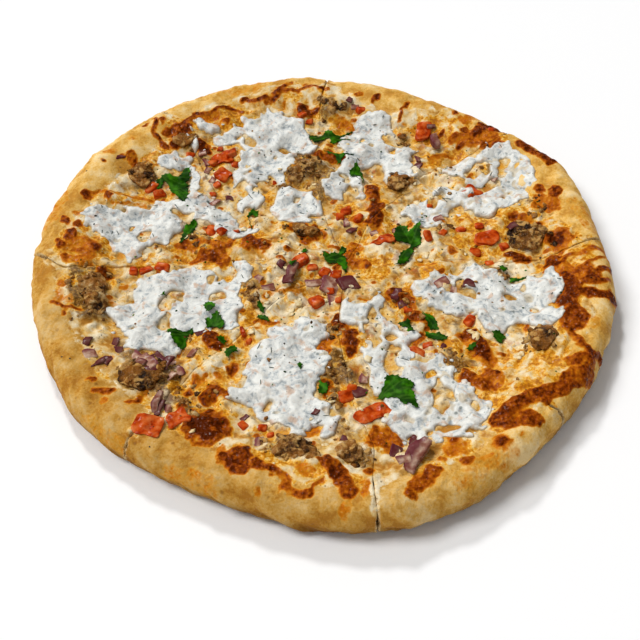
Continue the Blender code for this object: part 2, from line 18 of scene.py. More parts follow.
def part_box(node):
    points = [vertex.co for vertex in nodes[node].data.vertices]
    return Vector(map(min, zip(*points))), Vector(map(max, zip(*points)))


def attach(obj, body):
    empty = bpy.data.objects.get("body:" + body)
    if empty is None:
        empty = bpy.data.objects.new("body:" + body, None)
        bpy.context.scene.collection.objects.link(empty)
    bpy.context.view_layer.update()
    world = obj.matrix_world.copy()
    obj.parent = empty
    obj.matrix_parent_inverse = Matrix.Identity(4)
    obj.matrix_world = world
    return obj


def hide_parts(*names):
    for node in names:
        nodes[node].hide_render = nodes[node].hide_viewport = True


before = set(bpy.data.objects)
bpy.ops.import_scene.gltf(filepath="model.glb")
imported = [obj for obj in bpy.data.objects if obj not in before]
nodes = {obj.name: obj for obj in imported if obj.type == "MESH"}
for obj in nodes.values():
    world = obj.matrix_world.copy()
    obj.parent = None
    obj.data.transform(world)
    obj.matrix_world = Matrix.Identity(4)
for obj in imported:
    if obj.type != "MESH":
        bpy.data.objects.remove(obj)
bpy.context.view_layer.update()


# ---- Dough: crust_1 to crust_8 -----------------------------------------------
# A round of leavened wheat dough, stretched by hand, with a thick puffed rim, baked in a hot
# oven until it is golden. It is shaped as one round and then cut with a knife into eight slices.
MM = 0.001
STEP = 0.5                      # distance between the maps' points
HALF = 164                      # the maps run this far each way from the middle
AXIS = np.arange(-HALF, HALF + STEP / 2, STEP)
LAST = len(AXIS) - 1.001        # the last place on a map that has another point beyond it
X, Y = np.meshgrid(AXIS, AXIS)
BEARING = np.arctan2(Y, X) % math.tau
FROM_MIDDLE = np.hypot(X, Y)


def read(chart, x, y):
    """A map's value at places between its points."""
    col = np.clip((np.asarray(x, float) + HALF) / STEP, 0, LAST)
    row = np.clip((np.asarray(y, float) + HALF) / STEP, 0, LAST)
    c, r = col.astype(int), row.astype(int)
    u, v = col - c, row - r
    near = chart[r, c] * (1 - u) + chart[r, c + 1] * u
    far = chart[r + 1, c] * (1 - u) + chart[r + 1, c + 1] * u
    return near * (1 - v) + far * v


def soften(chart, size):
    """Blurs a map with a bell whose spread is the size."""
    across = np.fft.rfftfreq(len(AXIS), STEP)[None, :]
    along = np.fft.fftfreq(len(AXIS), STEP)[:, None]
    bell = np.exp(-2 * (math.pi * size) ** 2 * (across ** 2 + along ** 2))
    return np.fft.irfft2(np.fft.rfft2(chart) * bell, s=chart.shape)


def lumpy(size, seed):
    """A map of random lumps about that many mm across, with an even spread of about 1."""
    chart = soften(np.random.RandomState(seed).standard_normal(X.shape), size / 3)
    return chart / chart.std()


def ease(value, low, high):
    """Rises smoothly from 0 at low to 1 at high."""
    t = np.clip((value - low) / (high - low), 0, 1)
    return t * t * (3 - 2 * t)


RAGGED_X = X + 0.9 * lumpy(9, 1) + 0.5 * lumpy(3, 2)
RAGGED_Y = Y + 0.9 * lumpy(9, 3) + 0.5 * lumpy(3, 4)
WAVER = 4                       # a ragged place lies no further than this from its own


def away_from(a, b, x, y):
    """Distance of places from the straight line between two points."""
    run = b - a
    t = np.clip(((x - a[0]) * run[0] + (y - a[1]) * run[1]) / max(run @ run, 1e-9), 0, 1)
    return np.hypot(x - a[0] - t * run[0], y - a[1] - t * run[1])


def reach_from(points, x, y):
    """Distance of places from a line of points, or from one point."""
    points = [np.array(point, float) for point in points]
    nearest = np.full(np.shape(x), 1e9)
    for a, b in zip(points, points[1:] or points):
        nearest = np.minimum(nearest, away_from(a, b, x, y))
    return nearest


def painted(strokes, fade=1.6):
    """A map of ragged strokes, each as strong as asked out to half its width."""
    chart = np.zeros(X.shape)
    for strength, width, *points in strokes:
        spots = np.array(points, float)
        margin = width / 2 + fade + WAVER
        low = np.clip(((spots.min(axis=0) - margin + HALF) / STEP).astype(int), 0, len(AXIS))
        high = np.clip(((spots.max(axis=0) + margin + HALF) / STEP).astype(int), 0, len(AXIS))
        part = (slice(low[1], high[1]), slice(low[0], high[0]))
        away = reach_from(points, RAGGED_X[part], RAGGED_Y[part])
        layer = strength * (1 - ease(away, width / 2 - fade / 2, width / 2 + fade))
        chart[part] = np.maximum(chart[part], layer)
    return chart


def solid_tree(kind):
    """The surface, in mm, of all the frame's nodes of a kind."""
    corners, faces = [], []
    for name, node in nodes.items():
        if name.startswith(kind):
            first = len(corners)
            corners += [vert.co / MM for vert in node.data.vertices]
            faces += [[first + index for index in face.vertices] for face in node.data.polygons]
    return BVHTree.FromPolygons(corners, faces)


OUTLINE_HEIGHT = 9.5            # the dough is widest here
CREST_INSET = 12                # the rim is highest this far in
CREST = 19.6                    # its usual height there
ROUND = 150                     # the section's own radius, stretched to the outline
SKIN_ROOM = 0.80                # the skin's lumps stand this far out of the round
FAR_OUT, OVERHEAD = 250, 60     # past the dough's side, and above all the toppings
# Section of the dough: distance in from its outline, and height.
SECTION = ((0, 9.5), (0.7, 12.2), (1.9, 14.6), (3.7, 16.9), (6, 18.6), (9, 19.6), (12.5, 19.8),
           (16, 19.2), (20, 17.9), (24, 16.2), (30, 13.2), (36, 10.8), (43, 9.4), (50, 9), (150, 9))
UNDERSIDE = ((0.2, 7.4), (0.8, 5.0), (1.8, 3.0), (3.4, 1.3), (5.6, 0.3), (8, 0), (150, 0))

crust_tree = solid_tree("crust")
degrees = np.radians(np.arange(360))
outline, crest = [], []
for bearing in degrees:
    out = Vector((math.cos(bearing), math.sin(bearing), 0))
    hit = crust_tree.ray_cast(out * FAR_OUT + Vector((0, 0, OUTLINE_HEIGHT)), -out)[0]
    outline.append(hit.xy.length)
    over = out * (hit.xy.length * (1 - CREST_INSET / ROUND)) + Vector((0, 0, OVERHEAD))
    top = crust_tree.ray_cast(over, Vector((0, 0, -1)))[0]
    crest.append(top.z if top else 0)


def ring_map(readings, spread=4):
    """Evens out readings taken at every degree, and spreads them over the round."""
    readings = np.array(readings)
    highest = np.maximum(readings, np.maximum(np.roll(readings, 1), np.roll(readings, -1)))
    evened = sum(np.roll(highest, turn) for turn in range(-spread, spread + 1)) / (2 * spread + 1)
    return np.interp(BEARING, np.append(degrees, math.tau), np.append(evened, evened[0]))


outline_map = ring_map(outline) - SKIN_ROOM
crest_map = ring_map(crest) / CREST
INSET = ROUND * (1 - FROM_MIDDLE / outline_map)
section_inset, section_height = np.array(SECTION).T
dough_top = np.interp(INSET, section_inset, section_height)
dough_top = dough_top * (1 + (crest_map - 1) * ease(INSET, 0, 9))

# Four cuts, each right across the round and through this point, make the eight slices.
CUT_CENTRE = (12, 4)
KNIFE = (0.7, 0.3, 0.45, 0.3)   # width of each cut's track: the crust closed up again behind some
CUTS = (
    ((-170, 9), (-154, 7), (-135, -6), (-120, -3), (-97, 0), (-45, 4), CUT_CENTRE,
     (62, 4), (100, 4), (121, 6), (140, 12), (158, 20), (172, 26)),
    ((-104, -132), (-92, -117), (-80, -98), (-66, -73), (-43, -49), (-20, -21), CUT_CENTRE,
     (24, 29), (37, 46), (53, 65), (66, 77), (91, 88), (118, 108), (130, 118)),
    ((26, -170), (24, -152), (22, -133), (23, -112), (15, -90), (11, -65), (8, -40), CUT_CENTRE,
     (5, 25), (0, 45), (-3, 65), (-2, 100), (-1, 130), (3, 150), (4, 172)),
    ((128, -110), (115, -97), (98, -91), (80, -82), (58, -57), (39, -31), (23, -12), CUT_CENTRE,
     (-10, 16), (-30, 27), (-41, 37), (-49, 45), (-57, 54), (-65, 66), (-70, 80), (-76, 92),
     (-88, 112), (-104, 129), (-114, 141)),
)


def through(points, pieces=5, closed=False):
    """Points on a smooth curve through the given points."""
    given = [np.array(point, float) for point in points]
    count = len(given)
    curve = []
    for first in range(count if closed else count - 1):
        before, here, after, beyond = (
            given[(first + k) % count] if closed else given[min(max(first + k, 0), count - 1)]
            for k in (-1, 0, 1, 2))
        for t in np.arange(pieces) / pieces:
            leave, arrive = (after - before) / 2, (beyond - here) / 2
            bend = 3 * (after - here) - 2 * leave - arrive
            twist = 2 * (here - after) + leave + arrive
            curve.append(here + t * (leave + t * (bend + t * twist)))
    return curve if closed else curve + [given[-1]]


def side_of(path, x, y):
    """On which side of a line of points places lie, as 1 or -1."""
    nearest = np.full(np.shape(x), 1e9)
    side = np.ones(np.shape(x))
    for a, b in zip(path, path[1:]):
        away = away_from(a, b, x, y)
        closer = away < nearest - 1e-9
        nearest = np.where(closer, away, nearest)
        turn = (b[0] - a[0]) * (y - a[1]) - (b[1] - a[1]) * (x - a[0])
        side = np.where(closer, np.sign(turn), side)
    return side


cut_paths = [through(path) for path in CUTS]
CUT_AWAY = np.min([reach_from(path, X, Y) for path in cut_paths], axis=0)
CUT_SIDES = np.array([side_of(path, X, Y) for path in cut_paths])

CRUST_VOXEL = 0.85
ROUND_STEPS = 180
BLADE_FOOT, BLADE_HEIGHT = -10, 60
SCRAP = 50                      # a scrap of a cut has fewer corners than this


def mesh_object(name, bm):
    """An object whose mesh, worked out in mm, is written in metres."""
    bmesh.ops.scale(bm, vec=(MM, MM, MM), verts=bm.verts)
    for face in bm.faces:
        face.smooth = True
    mesh = bpy.data.meshes.new(name)
    bm.to_mesh(mesh)
    bm.free()
    piece = bpy.data.objects.new(name, mesh)
    bpy.context.scene.collection.objects.link(piece)
    return piece


def apply_modifiers(piece):
    """Turns a piece's modifiers into its mesh."""
    graph = bpy.context.evaluated_depsgraph_get()
    finished = bpy.data.meshes.new_from_object(piece.evaluated_get(graph))
    piece.modifiers.clear()
    piece.data = finished


def make_round():
    """The uncut dough: a turned section, stretched to the hand-made outline."""
    bm = bmesh.new()
    outer = through(SECTION[::-1][1:], 3) + through(UNDERSIDE[:-1], 3)
    profile = [(ROUND, SECTION[-1][1])] + [tuple(point) for point in outer] + [(ROUND, 0)]
    line = [bm.verts.new((ROUND - inset, 0, height)) for inset, height in profile]
    edges = [bm.edges.new(pair) for pair in zip(line, line[1:])]
    bmesh.ops.spin(bm, geom=line + edges, cent=(0, 0, 0), axis=(0, 0, 1), dvec=(0, 0, 0),
                   angle=math.tau, steps=ROUND_STEPS, use_merge=True)
    bmesh.ops.remove_doubles(bm, verts=bm.verts, dist=0.001)
    bmesh.ops.recalc_face_normals(bm, faces=bm.faces)
    for vert in bm.verts:
        x, y, z = vert.co
        stretched = np.interp(math.atan2(y, x) % math.tau, degrees, outline_row)
        swell = np.interp(math.atan2(y, x) % math.tau, degrees, crest_row)
        inset = ROUND - math.hypot(x, y)
        lift = 1 + (swell - 1) * float(ease(inset, 0, 9)) * (z > OUTLINE_HEIGHT - 0.6)
        vert.co = (x * stretched / ROUND, y * stretched / ROUND, z * lift)
    return mesh_object("dough", bm)


def on_ring(chart):
    """A ring map's values at every degree."""
    return read(chart, 100 * np.cos(degrees), 100 * np.sin(degrees))


outline_row, crest_row = on_ring(outline_map), on_ring(crest_map)


def make_blade(path, width):
    """A thin upright sheet along a cut, as wide as the knife's track."""
    bm = bmesh.new()
    foot = [bm.verts.new((x, y, BLADE_FOOT)) for x, y in path]
    edges = [bm.edges.new(pair) for pair in zip(foot, foot[1:])]
    raised = bmesh.ops.extrude_edge_only(bm, edges=edges)["geom"]
    raised = [part for part in raised if isinstance(part, bmesh.types.BMVert)]
    bmesh.ops.translate(bm, vec=(0, 0, BLADE_HEIGHT), verts=raised)
    blade = mesh_object("blade", bm)
    track = blade.modifiers.new("track", "SOLIDIFY")
    track.thickness = width * MM
    track.offset = 0
    apply_modifiers(blade)
    return blade


whole = make_round()
blades = [make_blade(through(path, 2), width) for path, width in zip(CUTS, KNIFE)]
for blade in blades:
    cut = whole.modifiers.new("cut", "BOOLEAN")
    cut.operation = "DIFFERENCE"
    cut.solver = "EXACT"
    cut.object = blade
apply_modifiers(whole)
for blade in blades:
    bpy.data.objects.remove(blade)

bpy.ops.object.select_all(action="DESELECT")
bpy.context.view_layer.objects.active = whole
whole.select_set(True)
bpy.ops.mesh.separate(type="LOOSE")
wedges = [piece for piece in bpy.context.selected_objects if len(piece.data.vertices) > SCRAP]
for piece in [piece for piece in bpy.context.selected_objects if piece not in wedges]:
    bpy.data.objects.remove(piece)

# Where the oven browned the top: strength, width and the line of each stroke. Melted cheese
# browned in strands and blisters, some of which ran out over the rim.
TOAST = (
    # upper left
    (0.9, 3, (-105, 107)), (0.8, 4, (-95, 111)), (0.9, 2, (-100, 112), (-98, 98), (-93, 92)),
    (0.85, 7, (-92, 103), (-82, 106), (-86, 95)),
    (0.85, 2.4, (-82, 109), (-77, 117), (-67, 121), (-58, 124), (-48, 122)),
    (0.5, 7, (-79, 112), (-64, 118)), (0.85, 3, (-63, 116)), (0.9, 4, (-58, 113)),
    (0.9, 3, (-47, 133), (-38, 132), (-30, 132), (-26, 141), (-19, 147)),
    (0.85, 2.4, (-26, 139), (-10, 140), (2, 141)), (0.85, 4, (-9, 144)),
    (0.85, 5, (-12, 129), (-10, 122), (-5, 125)), (0.6, 3, (-23, 130)), (0.7, 4, (-33, 129)),
    (0.85, 4, (-115, 80)), (0.7, 6, (-109, 81), (-106, 74)), (0.85, 2, (-125, 73)),
    (0.45, 5, (-110, 96)), (0.4, 6, (-122, 83)), (0.35, 7, (-140, 77)), (0.9, 6, (-131, 48)),
    (0.85, 5, (-118, 47)), (0.5, 3, (-130, 50), (-117, 51), (-106, 52), (-95, 49)),
    (0.45, 2, (-117, 44), (-98, 45)), (0.5, 4, (-132, 34)),
    # far left
    (0.9, 6, (-140, 28)), (0.85, 5, (-132, 26)), (0.8, 5, (-135, 19), (-135, 16)),
    (0.9, 7, (-139, 10)), (0.75, 5, (-135, 1)), (0.7, 6, (-128, 6)), (0.85, 5, (-121, 9)),
    (0.5, 10, (-134, 9), (-126, 13), (-125, 3)), (0.5, 4, (-134, -1), (-122, -2)),
    (0.75, 7, (-116, -8)), (0.5, 4, (-103, -14)), (0.6, 6, (-133, -18)),
    (0.4, 5, (-134, -25), (-133, -31), (-128, -30)),
    (0.8, 2, (-135, -34), (-131, -36), (-123, -35)), (0.7, 2, (-129, -39)), (0.4, 5, (-110, -24)),
    # left of the middle
    (0.65, 5, (-76, 16), (-66, 16), (-53, 16), (-48, 19)), (0.8, 7, (-39, 19), (-33, 15)),
    (0.7, 5, (-67, 9), (-52, 7), (-54, 3)), (0.7, 7, (-16, 29), (-3, 24), (-7, 21)),
    (0.6, 4, (-18, 12)), (0.4, 4, (-80, 8), (-82, 2)), (0.75, 6, (-69, 7), (-52, 4), (-55, 12)),
    (0.75, 7, (-50, 15)), (0.65, 8, (-38, 15)), (0.7, 5, (-33, -11)),
    (0.45, 4, (-30, -20), (-21, -18)),
    # upper right
    (0.75, 5, (22, 137)), (0.9, 3, (32, 131), (35, 133)), (0.9, 2, (52, 128), (48, 122), (46, 116)),
    (0.85, 5, (80, 118)), (0.8, 4, (94, 124), (98, 120)), (0.9, 6, (82, 103)), (0.8, 4, (69, 103)),
    (0.7, 6, (76, 98)), (0.8, 5, (81, 92)), (0.9, 6, (89, 100), (97, 106), (106, 106), (112, 104)),
    (0.85, 6, (94, 90), (104, 90)), (0.9, 7, (117, 92), (123, 84), (130, 76)),
    (0.6, 12, (84, 97), (98, 97)), (0.5, 8, (84, 112), (92, 116)), (0.85, 8, (130, 50)),
    (0.7, 6, (122, 54)), (0.95, 10, (125, 16)), (0.6, 15, (126, 16)), (0.85, 5, (118, 29)),
    (0.8, 6, (105, 35)), (0.5, 8, (112, 33)), (0.9, 10, (123, 0)), (0.55, 3, (64, 85), (75, 85)),
    (0.85, 7, (28, 58), (29, 44), (26, 41)), (0.7, 7, (-5, 27)), (0.5, 5, (17, 34), (29, 29)),
    (0.6, 6, (16, 16), (16, 3)), (0.5, 3, (50, 3), (57, 1)), (0.65, 4, (69, 11)),
    (0.55, 6, (45, 78), (40, 66)), (0.5, 6, (10, 117), (22, 112)),
    # lower left
    (0.95, 9, (-57, -47), (-53, -52)), (0.55, 3, (-40, -45), (-39, -50)),
    (0.7, 3, (-24, -38), (-33, -37)), (0.65, 6, (-2, -20)), (0.4, 8, (-14, -16)),
    (0.65, 7, (4, -50), (2, -56)), (0.75, 6, (-44, -66)), (0.6, 4, (-50, -72)),
    (0.6, 3, (-37, -64)), (0.85, 6, (-64, -81)), (0.95, 5, (-66, -91)),
    (0.85, 7, (-55, -86), (-51, -81)), (0.8, 6, (-47, -83)), (0.5, 7, (-59, -75)),
    (0.8, 5, (-109, -78)), (0.8, 3, (-107, -86), (-98, -83)), (0.5, 3, (-101, -90)),
    (0.75, 5, (-90, -90), (-87, -87)), (1.25, 16, (-54.5, -103)), (0.8, 22, (-54.5, -103)),
    (0.6, 4, (-6, -103)), (0.65, 6, (3, -75), (4, -82)),
    # lower right
    (0.6, 6, (17, 4), (23, 2)), (0.95, 6, (14, -46), (15, -57)), (0.75, 7, (42, -25), (45, -28)),
    (0.75, 4, (47, -49), (49, -46)), (0.95, 6, (69, -49), (74, -47), (79, -60)),
    (0.5, 10, (72, -50), (80, -62)), (0.75, 7, (70, -74), (77, -79), (83, -70)),
    (0.5, 10, (83, -75)),
    (0.82, 9, (82, -99), (92, -93), (103, -87), (114, -82), (124, -74), (128, -73)),
    (0.75, 6, (85, -103), (98, -101)), (0.9, 9, (128, -14), (126, -22), (123, -29)),
    (0.75, 5, (122, -34), (121, -46)),
    (0.65, 3, (128, 2), (135, 3), (142, 6), (147, 8), (150, 6), (150, 1)),
    (0.75, 2.4, (146, 1), (140, -2), (135, -6)), (0.5, 3, (128, 8), (122, 2)),
    (0.9, 3.2, (149, -8), (144, -9), (137, -9)), (0.85, 3, (147, -17), (142, -18), (136, -18)),
    (0.75, 7, (138, -7), (131, -10), (133, -16), (127, -21)), (0.8, 9, (138, -8), (139, -14)),
    (0.95, 4.8, (148, -26), (145, -25), (139, -25), (133, -25), (122, -28)),
    (0.8, 8, (127, -32), (128, -40), (125, -47)), (0.85, 8, (38, -19), (44, -27)),
    (0.6, 5, (10, -88)), (0.85, 6, (-3, 90), (6, 86), (13, 84)),
    (0.9, 6, (9, -36), (12, -46), (15, -52)), (0.95, 5, (98, 8), (108, 5)),
    (0.8, 5, (42, -34), (50, -36)), (0.95, 7, (30, 46), (28, 34)), (1.05, 6, (-72, 97), (-68, 90)),
    (0.55, 10, (120, 45), (127, 42)), (0.7, 3, (121, -30), (119, -42), (122, -52), (127, -58)),
    (0.85, 2.6, (122, -48), (126, -57), (131, -62), (137, -62), (140, -66)),
    (0.75, 6, (119, -67), (129, -65)), (0.3, 9, (134, -44)), (0.55, 14, (124, -8), (124, -30)),
    # near edge
    (0.9, 14, (-38, -122)), (0.5, 4, (-46, -117), (-44, -125)),
    (0.75, 3, (-28, -123), (-22, -128), (-16, -132), (-17, -138), (-12, -139), (-6, -139),
     (-1, -134)),
    (0.8, 5, (-28, -124)), (0.8, 5, (-17, -137)), (0.5, 6, (-8, -127)),
    (0.85, 7, (2, -123), (7, -131), (11, -137), (10, -141)), (0.55, 5, (18, -133), (19, -139)),
    (0.95, 4, (20, -126)), (0.62, 15, (28, -110)), (0.6, 4, (-3, -101), (-7, -106)),
    (0.75, 4, (38, -139), (40, -141)), (0.4, 4, (-28, -138)), (0.4, 5, (10, -148)),
    (0.75, 5, (-88, -89)), (0.95, 4.5, (79, -114), (82, -114)), (0.45, 10, (80, -114)),
    (0.8, 6, (65, -123)), (0.5, 9, (61, -115)), (0.55, 4, (55, -121)),
    (0.75, 7, (42, -135), (49, -128)), (0.75, 5, (37, -141)), (0.5, 2, (90, -110)),
    (0.5, 2, (75, -121)),
    # stains on the rim
    (0.32, 9, (-146, 52), (-149, 30)), (0.3, 8, (-141, -60), (-130, -80)),
    (0.3, 10, (-60, 138), (-38, 146)), (0.3, 8, (60, 139), (78, 131)),
    (0.28, 10, (-70, -128), (-50, -136)), (0.3, 9, (60, -134), (84, -120)),
    (0.28, 10, (-110, -102), (-96, -114)), (0.3, 9, (140, 40), (145, 24)),
)

# Each stroke is uneven, and blisters of two sizes browned anywhere.
toast_map = painted(TOAST)
toast_map = toast_map * (1 + 0.10 * lumpy(4, 5) + 0.10 * lumpy(1.8, 6))
toast_map += ease(lumpy(7, 7), 1.3, 2.4) * 0.34 * ease(INSET, 2, 30)
toast_map = np.maximum(toast_map, ease(lumpy(4.4, 18), 1.3, 2.5) * 0.75 * ease(INSET, 20, 38))
toast_map = np.clip(toast_map, 0, 1.35)

# Orange gold where fat and juices ran through the cheese, mostly round what browned.
GOLD = (
    (0.9, 16, (96, -62), (110, -74)), (1.0, 18, (122, 44), (130, 40)), (1.0, 14, (14, 2), (30, -2)),
    (0.8, 8, (55, -5), (63, -5)), (1.0, 12, (-72, 112), (-50, 116)),
    (0.9, 16, (-95, 98), (-82, 110), (-64, 117), (-50, 119)),
    (0.6, 12, (-20, 136), (-5, 134), (2, 124)), (0.7, 13, (-114, 80), (-103, 77)),
    (0.6, 7, (-96, 83)), (0.8, 8, (-128, 50), (-108, 51), (-92, 55)),
    (1.0, 24, (-131, 9), (-125, 12)), (0.8, 9, (-100, 8), (-90, 4)),
    (0.8, 14, (-78, 12), (-60, 17), (-38, 19)), (0.8, 12, (-64, 3), (-50, 4)),
    (0.8, 9, (-52, 92), (-50, 84)), (0.8, 9, (-55, 62), (-46, 60)), (0.8, 8, (-31, 53)),
    (0.8, 12, (-20, 31), (-5, 25)), (0.6, 9, (-28, -1)), (0.5, 10, (-146, 74)),
    (0.7, 10, (4, 124), (10, 112), (8, 100)), (0.5, 8, (24, 125)), (0.5, 9, (52, 119)),
    (0.6, 7, (34, 131)), (1.0, 20, (62, 107), (76, 102), (90, 103), (106, 100)),
    (0.8, 9, (62, 84), (76, 87), (84, 88)), (0.9, 16, (118, 98), (122, 82), (127, 92)),
    (0.9, 16, (122, 57), (130, 52)), (0.9, 16, (102, 32), (114, 38), (118, 30)),
    (1.0, 18, (127, 17)), (1.0, 20, (78, 28), (92, 24), (82, 14)),
    (0.8, 10, (30, 60), (30, 44), (34, 28)), (0.8, 10, (44, 68)), (0.8, 12, (13, 42), (20, 33)),
    (0.6, 8, (16, 10), (16, -2)), (0.5, 6, (36, 4), (66, 6)), (1.0, 14, (122, 1), (138, 1)),
    (0.8, 12, (-133, -18)), (0.7, 8, (-134, -34)), (0.6, 7, (-105, -13)), (0.6, 8, (-117, -66)),
    (0.7, 7, (-109, -78)), (0.7, 8, (-103, -86)), (0.6, 10, (-88, -88)), (0.9, 18, (-56, -49)),
    (0.5, 11, (-61, -66), (-42, -67)), (0.6, 16, (-66, -82), (-48, -84)),
    (0.9, 10, (-44, -8), (-42, -20)), (0.9, 9, (-37, -29), (-40, -48)), (0.7, 6, (-24, -37)),
    (0.9, 24, (-54, -102)), (0.9, 17, (-38, -121)), (0.45, 18, (-80, -118), (-56, -124)),
    (0.9, 15, (-25, -125), (-10, -133), (4, -129)), (0.8, 9, (-5, -104)), (0.9, 12, (-14, -17)),
    (0.7, 9, (-96, -3), (-80, -1)), (0.6, 8, (0, -20)), (1.0, 14, (13, -50)),
    (0.5, 14, (22, -4), (32, -2)), (0.9, 14, (40, -18), (46, -31)), (0.9, 16, (66, -50), (80, -58)),
    (0.7, 11, (84, -70), (92, -60)), (1.0, 15, (74, -76), (80, -83)),
    (1.0, 20, (84, -98), (100, -89), (117, -77), (127, -68)),
    (1.0, 13, (126, -4), (125, -30), (124, -50)), (0.9, 13, (124, -62), (138, -60)),
    (0.5, 15, (92, -72), (106, -62)), (0.9, 16, (28, -109)), (0.8, 13, (61, -117)),
    (0.7, 8, (80, -114)), (0.9, 12, (42, -135), (50, -126)), (0.9, 15, (8, -128), (12, -138)),
    (0.5, 10, (21, -140)), (0.5, 12, (137, -45)), (0.6, 9, (100, -40)),
    (0.8, 8, (-100, 62), (-94, 56)), (0.7, 9, (-60, 78), (-56, 88)), (0.6, 8, (58, 104)),
    (0.5, 8, (70, 32)), (0.5, 9, (-8, -4), (6, -4)), (0.6, 9, (12, -84)), (0.5, 10, (-72, -100)),
    (0.6, 8, (-30, -104)),
)
gold_map = painted(GOLD, fade=3)
gold_map = np.maximum(gold_map, 0.9 * soften(ease(toast_map, 0.3, 0.8), 2.2))
gold_map = np.clip(gold_map + 0.16 * lumpy(8, 8) * ease(INSET, 8, 30) + 0.10 * lumpy(3, 9), 0, 1)
# Painted shade: the rim is a little darker at the near left, and its foot darkest at the near
# right.
NEAR_LEFT_SHADE_BEARING, FOOT_SHADE_BEARING = math.radians(232), math.radians(305)
near_left_shade_map = np.clip(np.cos(BEARING - NEAR_LEFT_SHADE_BEARING), 0, 1)
foot_shade_map = 0.70 + 0.25 * np.cos(BEARING - FOOT_SHADE_BEARING)

# Lumps of the rim: size, height and seed. Less their mean, they neither swell nor thin it.
RIM_LUMPS = ((15, 0.50, 11), (6, 0.32, 12), (2.6, 0.13, 13))
LUMP_MEAN = 0.25
# Folds where the dough was pressed, and cracks: depth, width and line.
FOLDS = (
    (0.35, 6, (-72, -122), (-60, -128), (-50, -131)), (0.3, 5, (-34, -141), (-10, -146)),
    (0.4, 3, (102, -96), (109, -90), (112, -96)), (0.3, 5, (40, -142), (62, -135), (84, -122)),
    (0.4, 6, (-146, -18), (-143, -40)), (0.5, 5, (140, -56), (132, -74)),
    (0.5, 6, (-140, 60), (-132, 74)), (0.4, 6, (60, 138), (76, 132)),
)
fold_map = painted(FOLDS)
rim_lumps = [(height * lumpy(size, seed)) for size, height, seed in RIM_LUMPS]
strand_relief = 0.75 * soften(ease(toast_map, 0.42, 0.9), 0.5) * (1 + 0.35 * lumpy(1.7, 14))


def read_leaning(chart, x, y, z):
    """A map's value at places that shift with their height, so that walls are lumpy too."""
    return read(chart, x + 1.3 * z, y - 0.9 * z)


# The cheese's own edge is read from the frame, and is then made ragged.
CHEESE_SPREAD = 2.5
COARSE = 4                      # it is read at every fourth point of the maps
coarse = np.arange(0, len(AXIS), COARSE)
cheese_tree = solid_tree("cheese")
covered = np.zeros((len(coarse), len(coarse)))
for row, y_index in enumerate(coarse):
    for col, x_index in enumerate(coarse):
        above = Vector((AXIS[x_index], AXIS[y_index], OVERHEAD))
        covered[row, col] = cheese_tree.ray_cast(above, Vector((0, 0, -1)))[0] is not None
full = np.minimum(np.arange(len(AXIS)) // COARSE, len(coarse) - 1)
covered = np.maximum(soften(covered[full][:, full] * 1.0, 1.5), CUT_AWAY < 3) * (INSET > 4)
cheese_room = (soften(covered, CHEESE_SPREAD) - 0.5) * CHEESE_SPREAD * math.sqrt(math.tau)
cover_map = ease(cheese_room + 0.9 * lumpy(6, 15) + 0.5 * lumpy(2.5, 16), -0.8, 1.8)
gold_map *= 0.2 + 0.8 * cover_map

CRUMB_SHOWS = 1.1               # the cut faces lie within this distance of a cut


def set_layers(mesh, **layers):
    """Keeps values for a mesh's corners, for its material to read."""
    for name, values in layers.items():
        layer = mesh.attributes.new(name, "FLOAT", "POINT")
        spread = np.empty(len(mesh.vertices), np.float32)
        spread[:] = values
        layer.data.foreach_set("value", spread)


def mesh_arrays(mesh):
    """The corners and their outward directions, in mm."""
    corners = np.empty(len(mesh.vertices) * 3)
    outward = np.empty(len(mesh.vertices) * 3)
    mesh.vertices.foreach_get("co", corners)
    mesh.vertices.foreach_get("normal", outward)
    return corners.reshape(-1, 3) / MM, outward.reshape(-1, 3)


def put_back(mesh, corners):
    """Moves a mesh's corners to places in mm."""
    mesh.vertices.foreach_set("co", (corners * MM).ravel())
    mesh.update()


def refine(piece, voxel, rounds):
    """Remakes a piece's skin as one fine even mesh, and smooths it."""
    fine = piece.modifiers.new("fine", "REMESH")
    fine.mode = "VOXEL"
    fine.voxel_size = voxel * MM
    fine.use_smooth_shade = True
    smooth = piece.modifiers.new("smooth", "SMOOTH")
    smooth.factor = 0.5
    smooth.iterations = rounds
    apply_modifiers(piece)


def finish_crust(piece):
    """Gives a slice of dough its fine skin, lumps, folds and browned strands."""
    refine(piece, CRUST_VOXEL, rounds=3)
    corners, outward = mesh_arrays(piece.data)
    x, y, z = corners.T
    upward = ease(outward[:, 2], 0.1, 0.6)
    cut_face = ease(CRUMB_SHOWS - read(CUT_AWAY, x, y), 0, 0.6) * (outward[:, 2] < 0.75)
    shown = ease(z, 0.5, 3)
    # Where the lumps dip is kept as hollow, which the finish paints a little darker as shade.
    lumps = sum(read_leaning(chart, x, y, z) for chart in rim_lumps) - LUMP_MEAN
    strands = read(strand_relief, x, y)
    move = (lumps * (1 - 0.6 * cut_face) - read(fold_map, x, y) * 0.9 + strands * 0.8) * shown
    move += 0.25 * cut_face * shown * read_leaning(lumpy(1.8, 17), x, y, z)
    put_back(piece.data, corners + outward * move[:, None])
    # The layer low is painted shade at the foot of the wall, strongest at the near right.
    set_layers(piece.data, toast=read(toast_map, x, y) * np.maximum(upward, ease(z, 6, 11)),
               cover=read(cover_map, x, y) * upward, crumb=cut_face, pale=0, meaty=0,
               low=(1 - ease(z, 2, 12)) * read(foot_shade_map, x, y), hollow=np.clip(-1.3 * lumps, -1, 1),
               busy=0, gold=read(gold_map, x, y) * upward, tan=read(near_left_shade_map, x, y))


def linear(code):
    """A colour from its sRGB hex value."""
    parts = [int(code[place:place + 2], 16) / 255 for place in (1, 3, 5)]
    return (*(p / 12.92 if p <= 0.04045 else ((p + 0.055) / 1.055) ** 2.4 for p in parts), 1.0)


def plug(tree, node, sockets):
    """Gives each named input of a node its value or its link."""
    for key, value in sockets.items():
        if isinstance(value, bpy.types.NodeSocket):
            tree.links.new(value, node.inputs[key])
        else:
            node.inputs[key].default_value = value


